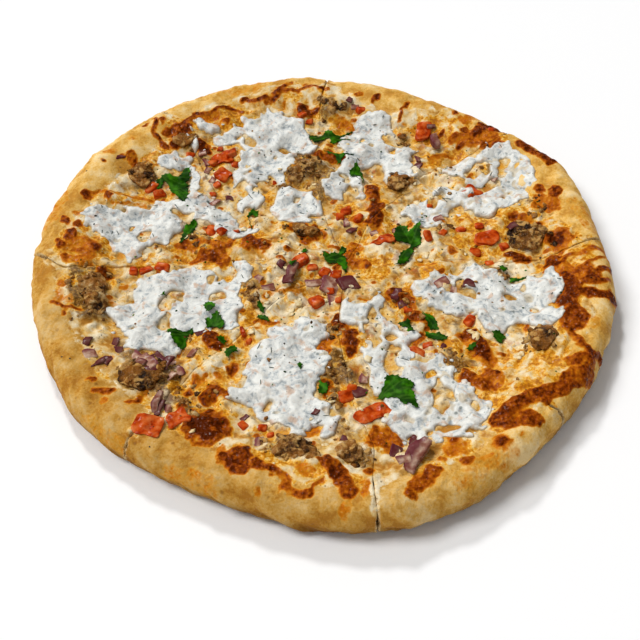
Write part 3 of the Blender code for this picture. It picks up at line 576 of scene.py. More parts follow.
def add(tree, kind, sockets=None, out=0, stops=None, **settings):
    """Adds a node with its settings, its inputs' values or links, and a ramp's colours."""
    made = tree.nodes.new("ShaderNode" + kind)
    for name, value in settings.items():
        setattr(made, name, value)
    plug(tree, made, sockets or {})
    for number, (place, colour) in enumerate(stops or ()):
        ramp = made.color_ramp.elements
        stop = ramp[number] if number < 2 else ramp.new(place)
        stop.position = place
        stop.color = linear(colour)
    return made.outputs[out]


def new_finish(name):
    """A new material, with its nodes, its shader and the places that its patterns follow."""
    material = bpy.data.materials.new(name)
    material.use_nodes = True
    tree = material.node_tree
    return material, tree, tree.nodes["Principled BSDF"], add(tree, "TexCoord", out="Object")


def cells(size):
    """A pattern's scale from the real size of its grains, in mm."""
    return 1 / (size * MM)


BLEND = {"data_type": "RGBA", "out": 2}
FACTOR, UNDER, OVER = 0, 6, 7


def oven_baked(name, gloss, shine):
    """Wheat crust and the cheese melted over it, which brown from gold to dark caramel.
    The eye sees a soft fine grain, and small blisters where the cheese is browned, shining and
    painted lighter on top."""
    material, tree, shader, place = new_finish(name)
    broad, curdy, grainy, pored = (
        add(tree, "TexNoise", {"Vector": place, "Scale": cells(size), "Detail": detail,
                               "Roughness": rough})
        for size, detail, rough in ((12, 5, 0.55), (5, 4, 0.6), (1.5, 3, 0.6), (0.9, 2, 0.5)))
    blister = add(tree, "TexVoronoi", {"Vector": place, "Scale": cells(1.6)}, feature="SMOOTH_F1")
    toast, cover, crumb, pale, meaty, low, gold, tan, hollow, busy = (
        add(tree, "Attribute", attribute_name=layer, out="Fac")
        for layer in "toast cover crumb pale meaty low gold tan hollow busy".split())

    # Dough: floury gold with painted shade in dips, freckles, pores on its near side and cracks in
    # its wall.
    floury = broad
    for part, share in ((grainy, 0.25), (pored, 0.16), (hollow, -0.06)):
        floury = add(tree, "Math", {0: part, 1: share, 2: floury}, operation="MULTIPLY_ADD")
    dough = add(tree, "ValToRGB", {"Fac": floury}, stops=(
        (0.54, "#C68C38"), (0.64, "#DCA84E"), (0.74, "#ECC070"), (0.88, "#F6D69A")))
    # Painted shade, a little darker towards the near left; the near side's pores follow the same
    # layer.
    darker = add(tree, "MapRange", {"Value": tan, "From Min": 0.15, "From Max": 1.0})
    freckle = add(tree, "MapRange", {"Value": grainy, "From Min": 0.60, "From Max": 0.72,
                                     "To Max": 0.35})
    pores = add(tree, "TexVoronoi", {"Vector": place, "Scale": cells(6.5)})
    pore = add(tree, "MapRange", {"Value": pores, "From Min": 0.08, "From Max": 0.20,
                                  "To Min": 0.7, "To Max": 0.0})
    near_side = add(tree, "MapRange", {"Value": tan, "From Min": 0.70, "From Max": 0.98})
    pore = add(tree, "Math", {0: pore, 1: near_side}, operation="MULTIPLY")
    level = add(tree, "Mapping", {"Vector": place, "Scale": (1, 1, 3)})
    crack = add(tree, "TexNoise", {"Vector": level, "Scale": cells(7), "Detail": 4,
                                   "Roughness": 0.6})
    crack = add(tree, "MapRange", {"Value": crack, "From Min": 0.58, "From Max": 0.74,
                                   "To Max": 0.4})
    wall = add(tree, "MapRange", {"Value": low, "From Min": 0.05, "From Max": 0.5})
    crack = add(tree, "Math", {0: crack, 1: wall}, operation="MULTIPLY")
    # darker and low are painted shade: towards the near left, and at the foot of the wall.
    for factor, colour, blend in (
            (darker, "#DCD0B8", "MULTIPLY"), (freckle, "#A0651F", "MIX"),
            (low, "#938779", "MULTIPLY"), (pore, "#7C4C1C", "MIX"), (crack, "#8A5A22", "MIX")):
        dough = add(tree, "Mix", {FACTOR: factor, UNDER: dough, OVER: linear(colour)},
                    **BLEND, blend_type=blend)
    inside = add(tree, "ValToRGB", {"Fac": grainy}, stops=(
        (0.38, "#A67C45"), (0.5, "#D3B57F"), (0.7, "#E6D2A6")))
    dough = add(tree, "Mix", {FACTOR: crumb, UNDER: dough, OVER: inside}, **BLEND)

    # Cheese: cream with painted shade in its hollows, specks of herb and the juices of what lies
    # near.
    milky = add(tree, "TexNoise", {"Vector": place, "Scale": cells(9), "Detail": 4,
                                   "Roughness": 0.55, "Distortion": 0.4})
    paler = milky
    for part, share in ((pale, 0.18), (hollow, -0.09), (grainy, 0.22)):
        paler = add(tree, "Math", {0: part, 1: share, 2: paler}, operation="MULTIPLY_ADD")
    cheese = add(tree, "ValToRGB", {"Fac": paler}, stops=(
        (0.47, "#B67C30"), (0.56, "#D4A65A"), (0.64, "#E0C38E"), (0.76, "#EDDCB8")))
    herb = add(tree, "MapRange", {"Value": blister, "From Min": 0.12, "From Max": 0.22,
                                  "To Min": 0.7, "To Max": 0.0})
    herby = add(tree, "MapRange", {"Value": broad, "From Min": 0.50, "From Max": 0.60})
    herb = add(tree, "Math", {0: herb, 1: herby}, operation="MULTIPLY")
    cheese = add(tree, "Mix", {FACTOR: herb, UNDER: cheese, OVER: linear("#5A4420")}, **BLEND)
    ragged = add(tree, "MapRange", {"Value": grainy, "From Min": 0.3, "From Max": 0.7,
                                    "To Min": -0.3, "To Max": 0.3})
    jumble = add(tree, "TexNoise", {"Vector": place, "Scale": cells(6), "Detail": 3,
                                    "Roughness": 0.6}, "Color")
    split = add(tree, "SeparateColor", {"Color": jumble}, "Red").node
    for channel, low_end, most, colour in (
            ("Red", 0.53, 0.75, "#6E4A20"), ("Green", 0.57, 0.55, "#B8581C"),
            ("Blue", 0.59, 0.5, "#84564A")):
        juice = add(tree, "MapRange", {"Value": split.outputs[channel], "From Min": low_end,
                                       "From Max": low_end + 0.12, "To Max": most})
        juice = add(tree, "Math", {0: juice, 1: busy}, operation="MULTIPLY")
        cheese = add(tree, "Mix", {FACTOR: juice, UNDER: cheese, OVER: linear(colour)}, **BLEND)
    edge = add(tree, "Math", {0: cover, 1: ragged}, operation="ADD")
    edge = add(tree, "MapRange", {"Value": edge, "From Min": 0.30, "From Max": 0.7})
    top = add(tree, "Mix", {FACTOR: edge, UNDER: dough, OVER: cheese}, **BLEND)

    # Mince that shows through the cheese.
    minced = add(tree, "ValToRGB", {"Fac": grainy}, stops=(
        (0.36, "#40240C"), (0.47, "#764C1A"), (0.57, "#9C6E2C"), (0.70, "#BE9654")))
    meat_edge = add(tree, "Math", {0: meaty, 1: ragged}, operation="ADD")
    meat_edge = add(tree, "MapRange", {"Value": meat_edge, "From Min": 0.25, "From Max": 0.75,
                                       "To Max": 0.9})
    top = add(tree, "Mix", {FACTOR: meat_edge, UNDER: top, OVER: minced}, **BLEND)

    # Pools of golden fat, deeper in colour towards their middles.
    pooled = add(tree, "TexNoise", {"Vector": place, "Scale": cells(7), "Detail": 4,
                                    "Roughness": 0.55, "Distortion": 0.8})
    pooled = add(tree, "Math", {0: hollow, 1: 0.05, 2: pooled}, operation="MULTIPLY_ADD")
    streak = add(tree, "MapRange", {"Value": pooled, "From Min": 0.40, "From Max": 0.60,
                                    "To Min": -0.80, "To Max": 0.30})
    pool = add(tree, "Math", {0: gold, 1: streak}, operation="ADD")
    oily = add(tree, "MapRange", {"Value": pool, "From Min": 0.0, "From Max": 0.55, "To Max": 0.95})
    fatty = add(tree, "Math", {0: cover, 1: 0.5, 2: gold}, operation="MULTIPLY_ADD")
    fatty = add(tree, "MapRange", {"Value": fatty, "From Min": 0.05, "From Max": 0.30})
    oily = add(tree, "Math", {0: oily, 1: fatty}, operation="MULTIPLY")
    deep = add(tree, "Math", {0: pool, 1: 0.45, 2: -0.62}, operation="MULTIPLY_ADD")
    deep = add(tree, "Math", {0: grainy, 1: 1.6, 2: deep}, operation="MULTIPLY_ADD")
    golden = add(tree, "ValToRGB", {"Fac": deep}, stops=(
        (0.22, "#F2D084"), (0.40, "#E8AE3E"), (0.60, "#D68C18"), (0.82, "#AE6406")))
    top = add(tree, "Mix", {FACTOR: oily, UNDER: top, OVER: golden}, **BLEND)

    # Browned strands and blisters, which go from gold to dark caramel.
    patches_and_bead_light = add(tree, "MapRange", {"Value": grainy, "From Min": 0.3, "From Max": 0.7,
                                    "To Min": 0.92, "To Max": 0.56})
    # Each bead is painted lighter at its top and darker between beads, as highlight and shade.
    patches_and_bead_light = add(tree, "Math", {0: blister, 1: 0.5, 2: patches_and_bead_light}, operation="MULTIPLY_ADD")
    browned = add(tree, "Math", {0: toast, 1: patches_and_bead_light}, operation="MULTIPLY")
    brown = add(tree, "ValToRGB", {"Fac": browned}, stops=(
        (0.20, "#E4A632"), (0.36, "#D28218"), (0.52, "#BC660E"), (0.68, "#9C4A08"),
        (0.84, "#7E3404"), (1.0, "#561E00")))
    over = add(tree, "MapRange", {"Value": browned, "From Min": 0.16, "From Max": 0.42})
    top = add(tree, "Mix", {FACTOR: over, UNDER: top, OVER: brown}, **BLEND)

    # Relief and sheen: small sunk beads in what browned, and sparse wet glints.
    beads = add(tree, "Math", {0: blister, 1: toast}, operation="MULTIPLY")
    beads = add(tree, "Math", {0: beads, 1: -1.2}, operation="MULTIPLY")
    skin = add(tree, "Math", {0: grainy, 1: meaty, 2: beads}, operation="MULTIPLY_ADD")
    for part, share in ((pored, 0.30), (grainy, 0.30), (crack, -0.4), (curdy, 0.9)):
        skin = add(tree, "Math", {0: part, 1: share, 2: skin}, operation="MULTIPLY_ADD")
    bump = add(tree, "Bump", {"Height": skin, "Strength": 0.85, "Distance": 0.9 * MM})
    dull = add(tree, "MapRange", {"Value": browned, "To Min": gloss, "To Max": 0.24})
    wet = add(tree, "MapRange", {"Value": pored, "From Min": 0.58, "From Max": 0.68,
                                 "To Min": 0.02, "To Max": shine})
    plug(tree, shader, {"Base Color": top, "Normal": bump, "Roughness": dull,
                        "Specular IOR Level": wet})
    return material


# Baked wheat dough: matt and finely pored, golden with darker freckles.
wheat_crust = oven_baked("baked_wheat_crust", gloss=0.45, shine=0.20)


def centre_of(name):
    """The middle of a CAD node's box, in metres."""
    low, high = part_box(name)
    return (Vector(low) + Vector(high)) / 2


def serve(piece, finish, node=None):
    """Gives a piece its material and its body, and hides the CAD node that it stands for."""
    piece.data.materials.append(finish)
    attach(piece, "root")
    if node:
        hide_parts(node)


SLICES = range(1, 9)
for wedge in wedges:
    middle = sum((vert.co for vert in wedge.data.vertices), Vector()) / len(wedge.data.vertices)
    node = min((f"crust_{number}" for number in SLICES),
               key=lambda name: (centre_of(name) - middle).length)
    wedge.name = wedge.data.name = f"{node}_baked"
    finish_crust(wedge)
    wedge.data.materials.clear()
    serve(wedge, wheat_crust, node)


# ---- Melted cheese: cheese_1 to cheese_8 -------------------------------------
# Grated white cheese melted into one sheet on the dough: cream with a faint sheen, golden where
# thin, with blisters and strands browned dark. Meat and curds under it raise soft mounds.

# Where mince lies under it: strength, width and line.
MEATY = (
    (0.9, 16, (-124, -8), (-121, -21), (-119, -32)), (0.9, 10, (-103, 72)),
    (0.8, 7, (2, 131), (2, 123)), (0.8, 13, (-16, 73), (-8, 77), (2, 70)), (0.8, 9, (-7, 27)),
    (0.8, 6, (-69, 24)), (0.8, 6, (-70, 86)), (0.9, 8, (-75, 97)), (0.8, 8, (41, 66), (49, 65)),
    (0.8, 6, (48, 100)), (0.9, 13, (110, 21), (116, 17)), (0.8, 7, (119, 46)), (0.7, 10, (95, 70)),
    (0.7, 8, (68, 27)), (0.9, 16, (-88, -72), (-76, -73)), (0.8, 6, (-40, -13), (-39, -22)),
    (0.7, 5, (-64, -49)), (0.8, 7, (7, -42)), (0.8, 7, (9, -65)), (0.6, 7, (3, -73)),
    (0.7, 8, (41, -24), (48, -26)), (0.9, 7, (63, -59), (64, -64)),
    (0.8, 7, (-68, -86), (-62, -92)), (0.6, 7, (6, -100), (12, -106)), (0.6, 8, (118, 38)),
    (0.6, 8, (-60, -78), (-50, -84)), (0.9, 8, (5, -62), (10, -72)), (0.9, 7, (64, -60), (67, -68)),
    (0.8, 5, (42, -34), (50, -36)), (0.9, 9, (-20, 84), (-8, 84)), (0.9, 8, (-22, 62)),
    (0.9, 7, (-66, 22), (-64, 12)), (0.8, 7, (6, -44)), (0.8, 7, (8, -82), (6, -87)),
    (0.8, 7, (90, -4), (93, -8)), (0.8, 8, (-3, 62), (-4, 52)), (0.8, 7, (-95, -61), (-86, -61)),
    (0.9, 12, (107, -53)), (0.9, 10, (-23, -115), (-12, -115)), (0.7, 6, (-5, -119)),
    (0.7, 9, (18, -119)),
)
# Where curds lie under it, so that it is paler.
PALE = (
    (1, 10, (-112, -46)), (1, 7, (-34, -44)), (0.8, 12, (-26, -6)), (0.8, 16, (-9, -29)),
    (0.9, 6, (-117, -62)), (0.8, 9, (-11, 22)), (0.9, 14, (-25, 9)), (0.9, 9, (-92, 7)),
    (0.9, 14, (28, 18)), (0.9, 14, (58, 14)), (0.7, 12, (64, 65)), (0.9, 7, (114, 35)),
    (0.9, 12, (99, -1), (108, -2)), (1, 6, (8, 140)), (0.9, 6, (17, 131)), (0.7, 10, (41, 114)),
    (0.8, 10, (80, -49)), (0.8, 15, (90, -63)), (0.8, 14, (8, -91)), (0.8, 12, (-5, -26)),
    (1, 5, (32, -141)), (0.7, 9, (26, -136)), (1, 6, (11, -126)), (1, 4, (21, -133)),
    (0.4, 12, (84, -56), (96, -66)), (0.9, 8, (-58, -70), (-50, -66)),
    (0.9, 12, (-20, -20), (-16, -34)), (1, 16, (58, 70), (66, 60)), (1, 10, (52, 44)),
    (0.9, 9, (-54, 42)), (0.9, 7, (20, -95)), (0.9, 8, (24, -62)), (0.8, 10, (-34, -26)),
    (0.6, 12, (-114, 89)), (0.7, 9, (-99, 84)), (0.8, 6, (-115, 56)), (0.8, 7, (-10, 131)),
    (0.7, 6, (36, 9)),
)
meaty_map, pale_map = painted(MEATY, fade=3), painted(PALE, fade=4)

CHEESE_DEPTH = 3.0
CHEESE_LIP = 0.35
CHEESE_SPACING = 0.65
# The cheese pulled apart here where the knife went through.
OPEN_CUTS = ((1, 14, (-150, 5), (-120, -3), (-97, 0)), (1, 14, (23, -141), (24, -152)),
             (1, 14, (3, 150), (0, 136)), (1, 10, (100, 4), (150, 18)))
open_cut = painted(OPEN_CUTS, fade=6)
cheese_depth = CHEESE_LIP + (CHEESE_DEPTH - CHEESE_LIP) * ease(INSET, 14, 38)
bubbles = 0.80 * lumpy(13, 31) + 0.55 * lumpy(6, 32) + 0.14 * lumpy(2.8, 33)
bubbles += 0.9 * soften(ease(toast_map, 0.5, 0.9), 1.8)
mounds = soften(1.5 * meaty_map, 1.2) * (1 + 0.35 * lumpy(3, 34))
mounds = mounds + 0.6 * soften(pale_map, 1) * lumpy(3.6, 35)
flat_edge = ease(cheese_room, -0.5, 4)
under_cheese = dough_top + sum(read_leaning(chart, X, Y, dough_top) for chart in rim_lumps)
under_cheese -= LUMP_MEAN
cheese_top = under_cheese + cheese_depth * (0.05 + 0.95 * flat_edge) + strand_relief
cheese_top += (0.5 + bubbles + mounds) * flat_edge * ease(INSET, 6, 30)
cheese_top -= open_cut * 0.4 * (1 - ease(CUT_AWAY, 0, 1.6)) * ease(INSET, 4, 20)
cheese_edge_room = np.minimum(cheese_room + 1.6 + 0.7 * lumpy(5, 36), INSET - 9)
cheese_top = np.maximum(cheese_top, under_cheese + 0.1) - 0.6 * (1 - ease(cheese_edge_room, 0, 3))


def hollows(chart, size, depth):
    """How far a map lies under its surroundings, from -1 on a ridge to 1 in a hollow."""
    return np.clip((soften(chart, size) - chart) / depth, -1, 1)


# The cheese's hollows: its finish paints them darker as shade, and the fat's gold deepens in them.
cheese_hollow = hollows(cheese_top, 1.8, 0.45)
busy_map = ease(INSET + 4 * lumpy(20, 37), 22, 36) * (1 - 0.7 * pale_map)


def flat(verts):
    """Where corners lie, seen from above."""
    return np.array([vert.co.xy[:] for vert in verts])


def sheet(name, room, top, bottom, spacing):
    """A layer of food that lies where its room is over 0, between two maps of height."""
    rows, cols = np.nonzero(room > 0)
    low = np.array([AXIS[cols.min()], AXIS[rows.min()]]) - spacing
    high = np.array([AXIS[cols.max()], AXIS[rows.max()]]) + spacing
    counts = np.ceil((high - low) / spacing).astype(int)
    bm = bmesh.new()
    bmesh.ops.create_grid(bm, x_segments=int(counts[0]), y_segments=int(counts[1]), size=0.5)
    bmesh.ops.scale(bm, vec=(*(high - low), 1), verts=bm.verts)
    bmesh.ops.translate(bm, vec=(*((low + high) / 2), 0), verts=bm.verts)
    insets = read(room, *flat(bm.verts).T)
    outside = [vert for vert, inset in zip(bm.verts, insets) if inset < -0.5 * spacing]
    bmesh.ops.delete(bm, geom=outside, context="VERTS")
    for _ in range(3):
        stray = [vert for vert in bm.verts if not vert.link_faces
                 or sum(edge.is_boundary for edge in vert.link_edges) > 2]
        bmesh.ops.delete(bm, geom=stray, context="VERTS")
    slope_y, slope_x = np.gradient(room, STEP)
    border = [vert for vert in bm.verts if vert.is_boundary]
    places = flat(border)
    for _ in range(3):
        slope = np.array([read(slope_x, *places.T), read(slope_y, *places.T)]).T
        move = -read(room, *places.T)[:, None] * slope / ((slope ** 2).sum(axis=1)[:, None] + 0.05)
        length = np.linalg.norm(move, axis=1)[:, None]
        places += move * np.minimum(1, 0.5 * spacing / np.maximum(length, 1e-6))
    for vert, spot in zip(border, places):
        vert.co.xy = spot
    copied = bmesh.ops.extrude_face_region(bm, geom=bm.faces[:], use_keep_orig=True)["geom"]
    lower = {vert for vert in copied if isinstance(vert, bmesh.types.BMVert)}
    places = flat(bm.verts)
    for vert, high_z, low_z in zip(bm.verts, read(top, *places.T), read(bottom, *places.T)):
        vert.co.z = low_z if vert in lower else high_z
    bmesh.ops.recalc_face_normals(bm, faces=bm.faces)
    return mesh_object(name, bm)


# Melted white cheese: smooth and oily, with small glints, matt only where it is browned.
melted_cheese = oven_baked("melted_white_cheese", gloss=0.16, shine=0.60)


def slice_room(number):
    """Distance inside a slice from the nearest cut, and below 0 outside it."""
    middle = centre_of(f"crust_{number}") / MM
    own = np.array([side_of(path, np.array(middle.x), np.array(middle.y)) for path in cut_paths])
    same = np.all(CUT_SIDES == own[:, None, None], axis=0)
    return np.where(same, CUT_AWAY, -CUT_AWAY)


slice_rooms = {number: slice_room(number) for number in SLICES}
half_gap = 0.05 + 0.30 * open_cut

for number, room in slice_rooms.items():
    piece = sheet(f"cheese_{number}_melted", np.minimum(room - half_gap, cheese_edge_room),
                  cheese_top, np.minimum(dough_top, cheese_top) - 0.8, CHEESE_SPACING)
    x, y, z = mesh_arrays(piece.data)[0].T
    set_layers(piece.data, toast=read(toast_map, x, y), cover=read(cover_map, x, y), crumb=0,
               pale=read(pale_map, x, y), meaty=read(meaty_map, x, y), low=0,
               hollow=read(cheese_hollow, x, y), busy=read(busy_map, x, y),
               gold=read(gold_map, x, y), tan=read(near_left_shade_map, x, y))
    serve(piece, melted_cheese, f"cheese_{number}")


# ---- Minced meat: meat_1 to meat_13, and crumbs ------------------------------
# Seasoned mince, crumbled raw on the cheese and cooked in the oven: grey-brown, craggy and
# granular, in lumps as large as walnuts' halves with loose crumbs round them.
MEAT_VOXEL = 0.55


def replica(name, suffix, voxel, rounds):
    """A fine copy of a CAD node's form, which the node's piece starts from."""
    bm = bmesh.new()
    bm.from_mesh(nodes[name].data)
    bmesh.ops.remove_doubles(bm, verts=bm.verts, dist=0.01 * MM)
    bmesh.ops.scale(bm, vec=(1 / MM, 1 / MM, 1 / MM), verts=bm.verts)
    piece = mesh_object(f"{name}_{suffix}", bm)
    refine(piece, voxel, rounds)
    return piece


def roughen(piece, layers, sink=1.0, squash=1.0, nuggets=0.0, nugget_size=3.4, tone=0.5):
    """Moves a piece's skin by layers of lumps, and beds its foot in what it lies on."""
    corners, outward = mesh_arrays(piece.data)
    push = np.zeros(len(corners))
    for size, height, seed in layers:
        push += [height * noise.noise(Vector((x / size, y / size, z / size + seed)))
                 for x, y, z in corners]
    if nuggets:
        near = np.array([noise.voronoi(Vector(corner) / nugget_size)[0][0] for corner in corners])
        push += nuggets * (np.sqrt(np.clip(1 - (near / 0.8) ** 2, 0, 1)) - 0.6)
    corners = corners + outward * push[:, None]
    ground = read(cheese_top, corners[:, 0], corners[:, 1])
    above = corners[:, 2] - ground
    corners[:, 2] = ground + np.where(above > 0, above * squash, above)
    corners[:, 2] -= sink * (1 - ease(above, 0.5, 3.5))
    put_back(piece.data, corners)
    set_layers(piece.data, push=push, tone=tone)


surface = cheese_top.copy()


def heap_up(piece):
    """Raises the map of what the next toppings lie on, under a piece's skin."""
    corners, _ = mesh_arrays(piece.data)
    col, row = ((corners[:, :2] + HALF) / STEP).astype(int).T
    for right in (0, 1):
        for up in (0, 1):
            np.maximum.at(surface, (row + up, col + right), corners[:, 2])


# Cooked mince: fine wet grains, matt grey-brown with pits painted dark as shade, and paler fat.
cooked_mince, tree, shader, place = new_finish("cooked_minced_meat")
grains = add(tree, "TexNoise", {"Vector": place, "Scale": cells(1.8), "Detail": 4,
                                "Roughness": 0.65})
own_tone = add(tree, "Attribute", attribute_name="tone", out="Fac")
patches = add(tree, "TexNoise", {"Vector": place, "Scale": cells(7), "Detail": 2})
pit_shade = add(tree, "Attribute", attribute_name="push", out="Fac")
# The pits, where the skin was pushed in, are painted darker as shade.
tone = add(tree, "Math", {0: pit_shade, 1: 0.14, 2: grains}, operation="MULTIPLY_ADD")
tone = add(tree, "Math", {0: own_tone, 1: 0.36, 2: tone}, operation="MULTIPLY_ADD")
tone = add(tree, "Math", {0: tone, 1: 0.17}, operation="SUBTRACT")
mince = add(tree, "ValToRGB", {"Fac": tone}, stops=(
    (0.34, "#281608"), (0.44, "#573614"), (0.54, "#825628"), (0.65, "#AC8044"), (0.78, "#D2B684")))
warm = add(tree, "MapRange", {"Value": patches, "From Min": 0.42, "From Max": 0.60, "To Max": 0.7})
string = add(tree, "TexNoise", {"Vector": place, "Scale": cells(4.5), "Detail": 4,
                                "Distortion": 0.6})
string = add(tree, "MapRange", {"Value": string, "From Min": 0.53, "From Max": 0.62,
                                "To Max": 0.85})
for factor, colour in ((warm, "#9E6220"), (string, "#CFA05A")):
    mince = add(tree, "Mix", {FACTOR: factor, UNDER: mince, OVER: linear(colour)}, **BLEND)
bump = add(tree, "Bump", {"Height": grains, "Strength": 1.0, "Distance": 1.6 * MM})
plug(tree, shader, {"Base Color": mince, "Normal": bump, "Roughness": 0.22,
                    "Specular IOR Level": 0.12})

# Lumps of a lump of mince: size, height and seed.
MEAT_LUMPS = ((7, 2.2, 3), (3.4, 1.3, 7), (1.5, 0.4, 11))
# Some lumps cooked paler or darker than the others: the lump's number and its tone.
MEAT_TONES = {6: 0.22, 7: 0.62, 9: 0.06, 12: 0.14}

for number in range(1, 14):
    piece = replica(f"meat_{number}", "minced", MEAT_VOXEL, rounds=3)
    roughen(piece, MEAT_LUMPS, sink=1.4, squash=0.45, nuggets=0.2, nugget_size=4.2,
            tone=MEAT_TONES.get(number, 0.5))
    serve(piece, cooked_mince, f"meat_{number}")
    heap_up(piece)


def lay_out(name, places, make, finish, rise=0.15):
    """Joins small pieces of one kind. Each is made about 1 mm large at the middle, and is then
    stretched to its own length, width and height, turned and set down."""
    bm = bmesh.new()
    draw = random.Random(name)
    passing = bpy.data.meshes.new("passing")
    for x, y, length, width, height, turn in places:
        if read(INSET, x, y) < 0.5 * length + 2:
            continue
        own = bmesh.new()
        tone = own.verts.layers.float.new("tone")
        across = own.verts.layers.float.new("across")
        make(own, draw)
        shade = draw.random()
        for vert in own.verts:
            vert[tone] = shade
            vert[across] = vert.co.y
        lie = (Matrix.Translation((x, y, float(read(surface, x, y)) + height * rise))
               @ Matrix.Rotation(math.radians(turn), 4, "Z")
               @ Matrix.Rotation(draw.uniform(-0.3, 0.3), 4, "X")
               @ Matrix.Rotation(draw.uniform(-0.2, 0.2), 4, "Y")
               @ Matrix.Diagonal((length, width, height, 1)))
        bmesh.ops.transform(own, matrix=lie, verts=own.verts)
        bmesh.ops.recalc_face_normals(own, faces=own.faces)
        own.to_mesh(passing)
        own.free()
        bm.from_mesh(passing)
    bpy.data.meshes.remove(passing)
    serve(mesh_object(name, bm), finish)


def shake(verts, draw, amount, size=0.5):
    """Makes a small shape irregular."""
    shift = Vector((draw.uniform(0, 99), draw.uniform(0, 99), draw.uniform(0, 99)))
    for vert in verts:
        vert.co *= 1 + amount * noise.noise(vert.co / size + shift)


def crumb(bm, draw):
    """A craggy crumb."""
    bmesh.ops.create_icosphere(bm, subdivisions=2, radius=0.5)
    shake(bm.verts, draw, 0.9, 0.42)


def spots_near(strokes, count, size, seed, spread=1.0, thick=0.7):
    """Random places along strokes, with random sizes and turns, as lay_out takes them."""
    draw = random.Random(seed)
    weights = [width * width * strength for strength, width, *line in strokes]
    found = []
    for _, width, *line in draw.choices(strokes, weights, k=count):
        start, end = draw.choice(line), draw.choice(line)
        along = draw.random()
        angle = draw.uniform(0, math.tau)
        away = spread * width * 0.6 * math.sqrt(draw.random())
        length = draw.uniform(*size)
        found.append((start[0] + (end[0] - start[0]) * along + away * math.cos(angle),
                      start[1] + (end[1] - start[1]) * along + away * math.sin(angle),
                      length, length * draw.uniform(0.55, 0.95), length * thick,
                      draw.uniform(0, 360)))
    return found


MEAT_CRUMBS = spots_near(MEATY, 380, (1.4, 4.6), 5, spread=1.2, thick=0.4)
lay_out("meat_crumbs", MEAT_CRUMBS, crumb, cooked_mince, rise=-0.05)


# ---- Yoghurt sauce: sauce_1 to sauce_8 with sauce_3b, and drips --------------
# Thick yoghurt with grated cucumber, herbs and pepper, spooned on when the pizza is baked. It
# lies in lumpy pools with ragged edges, and the cheese shows brown through holes in it.

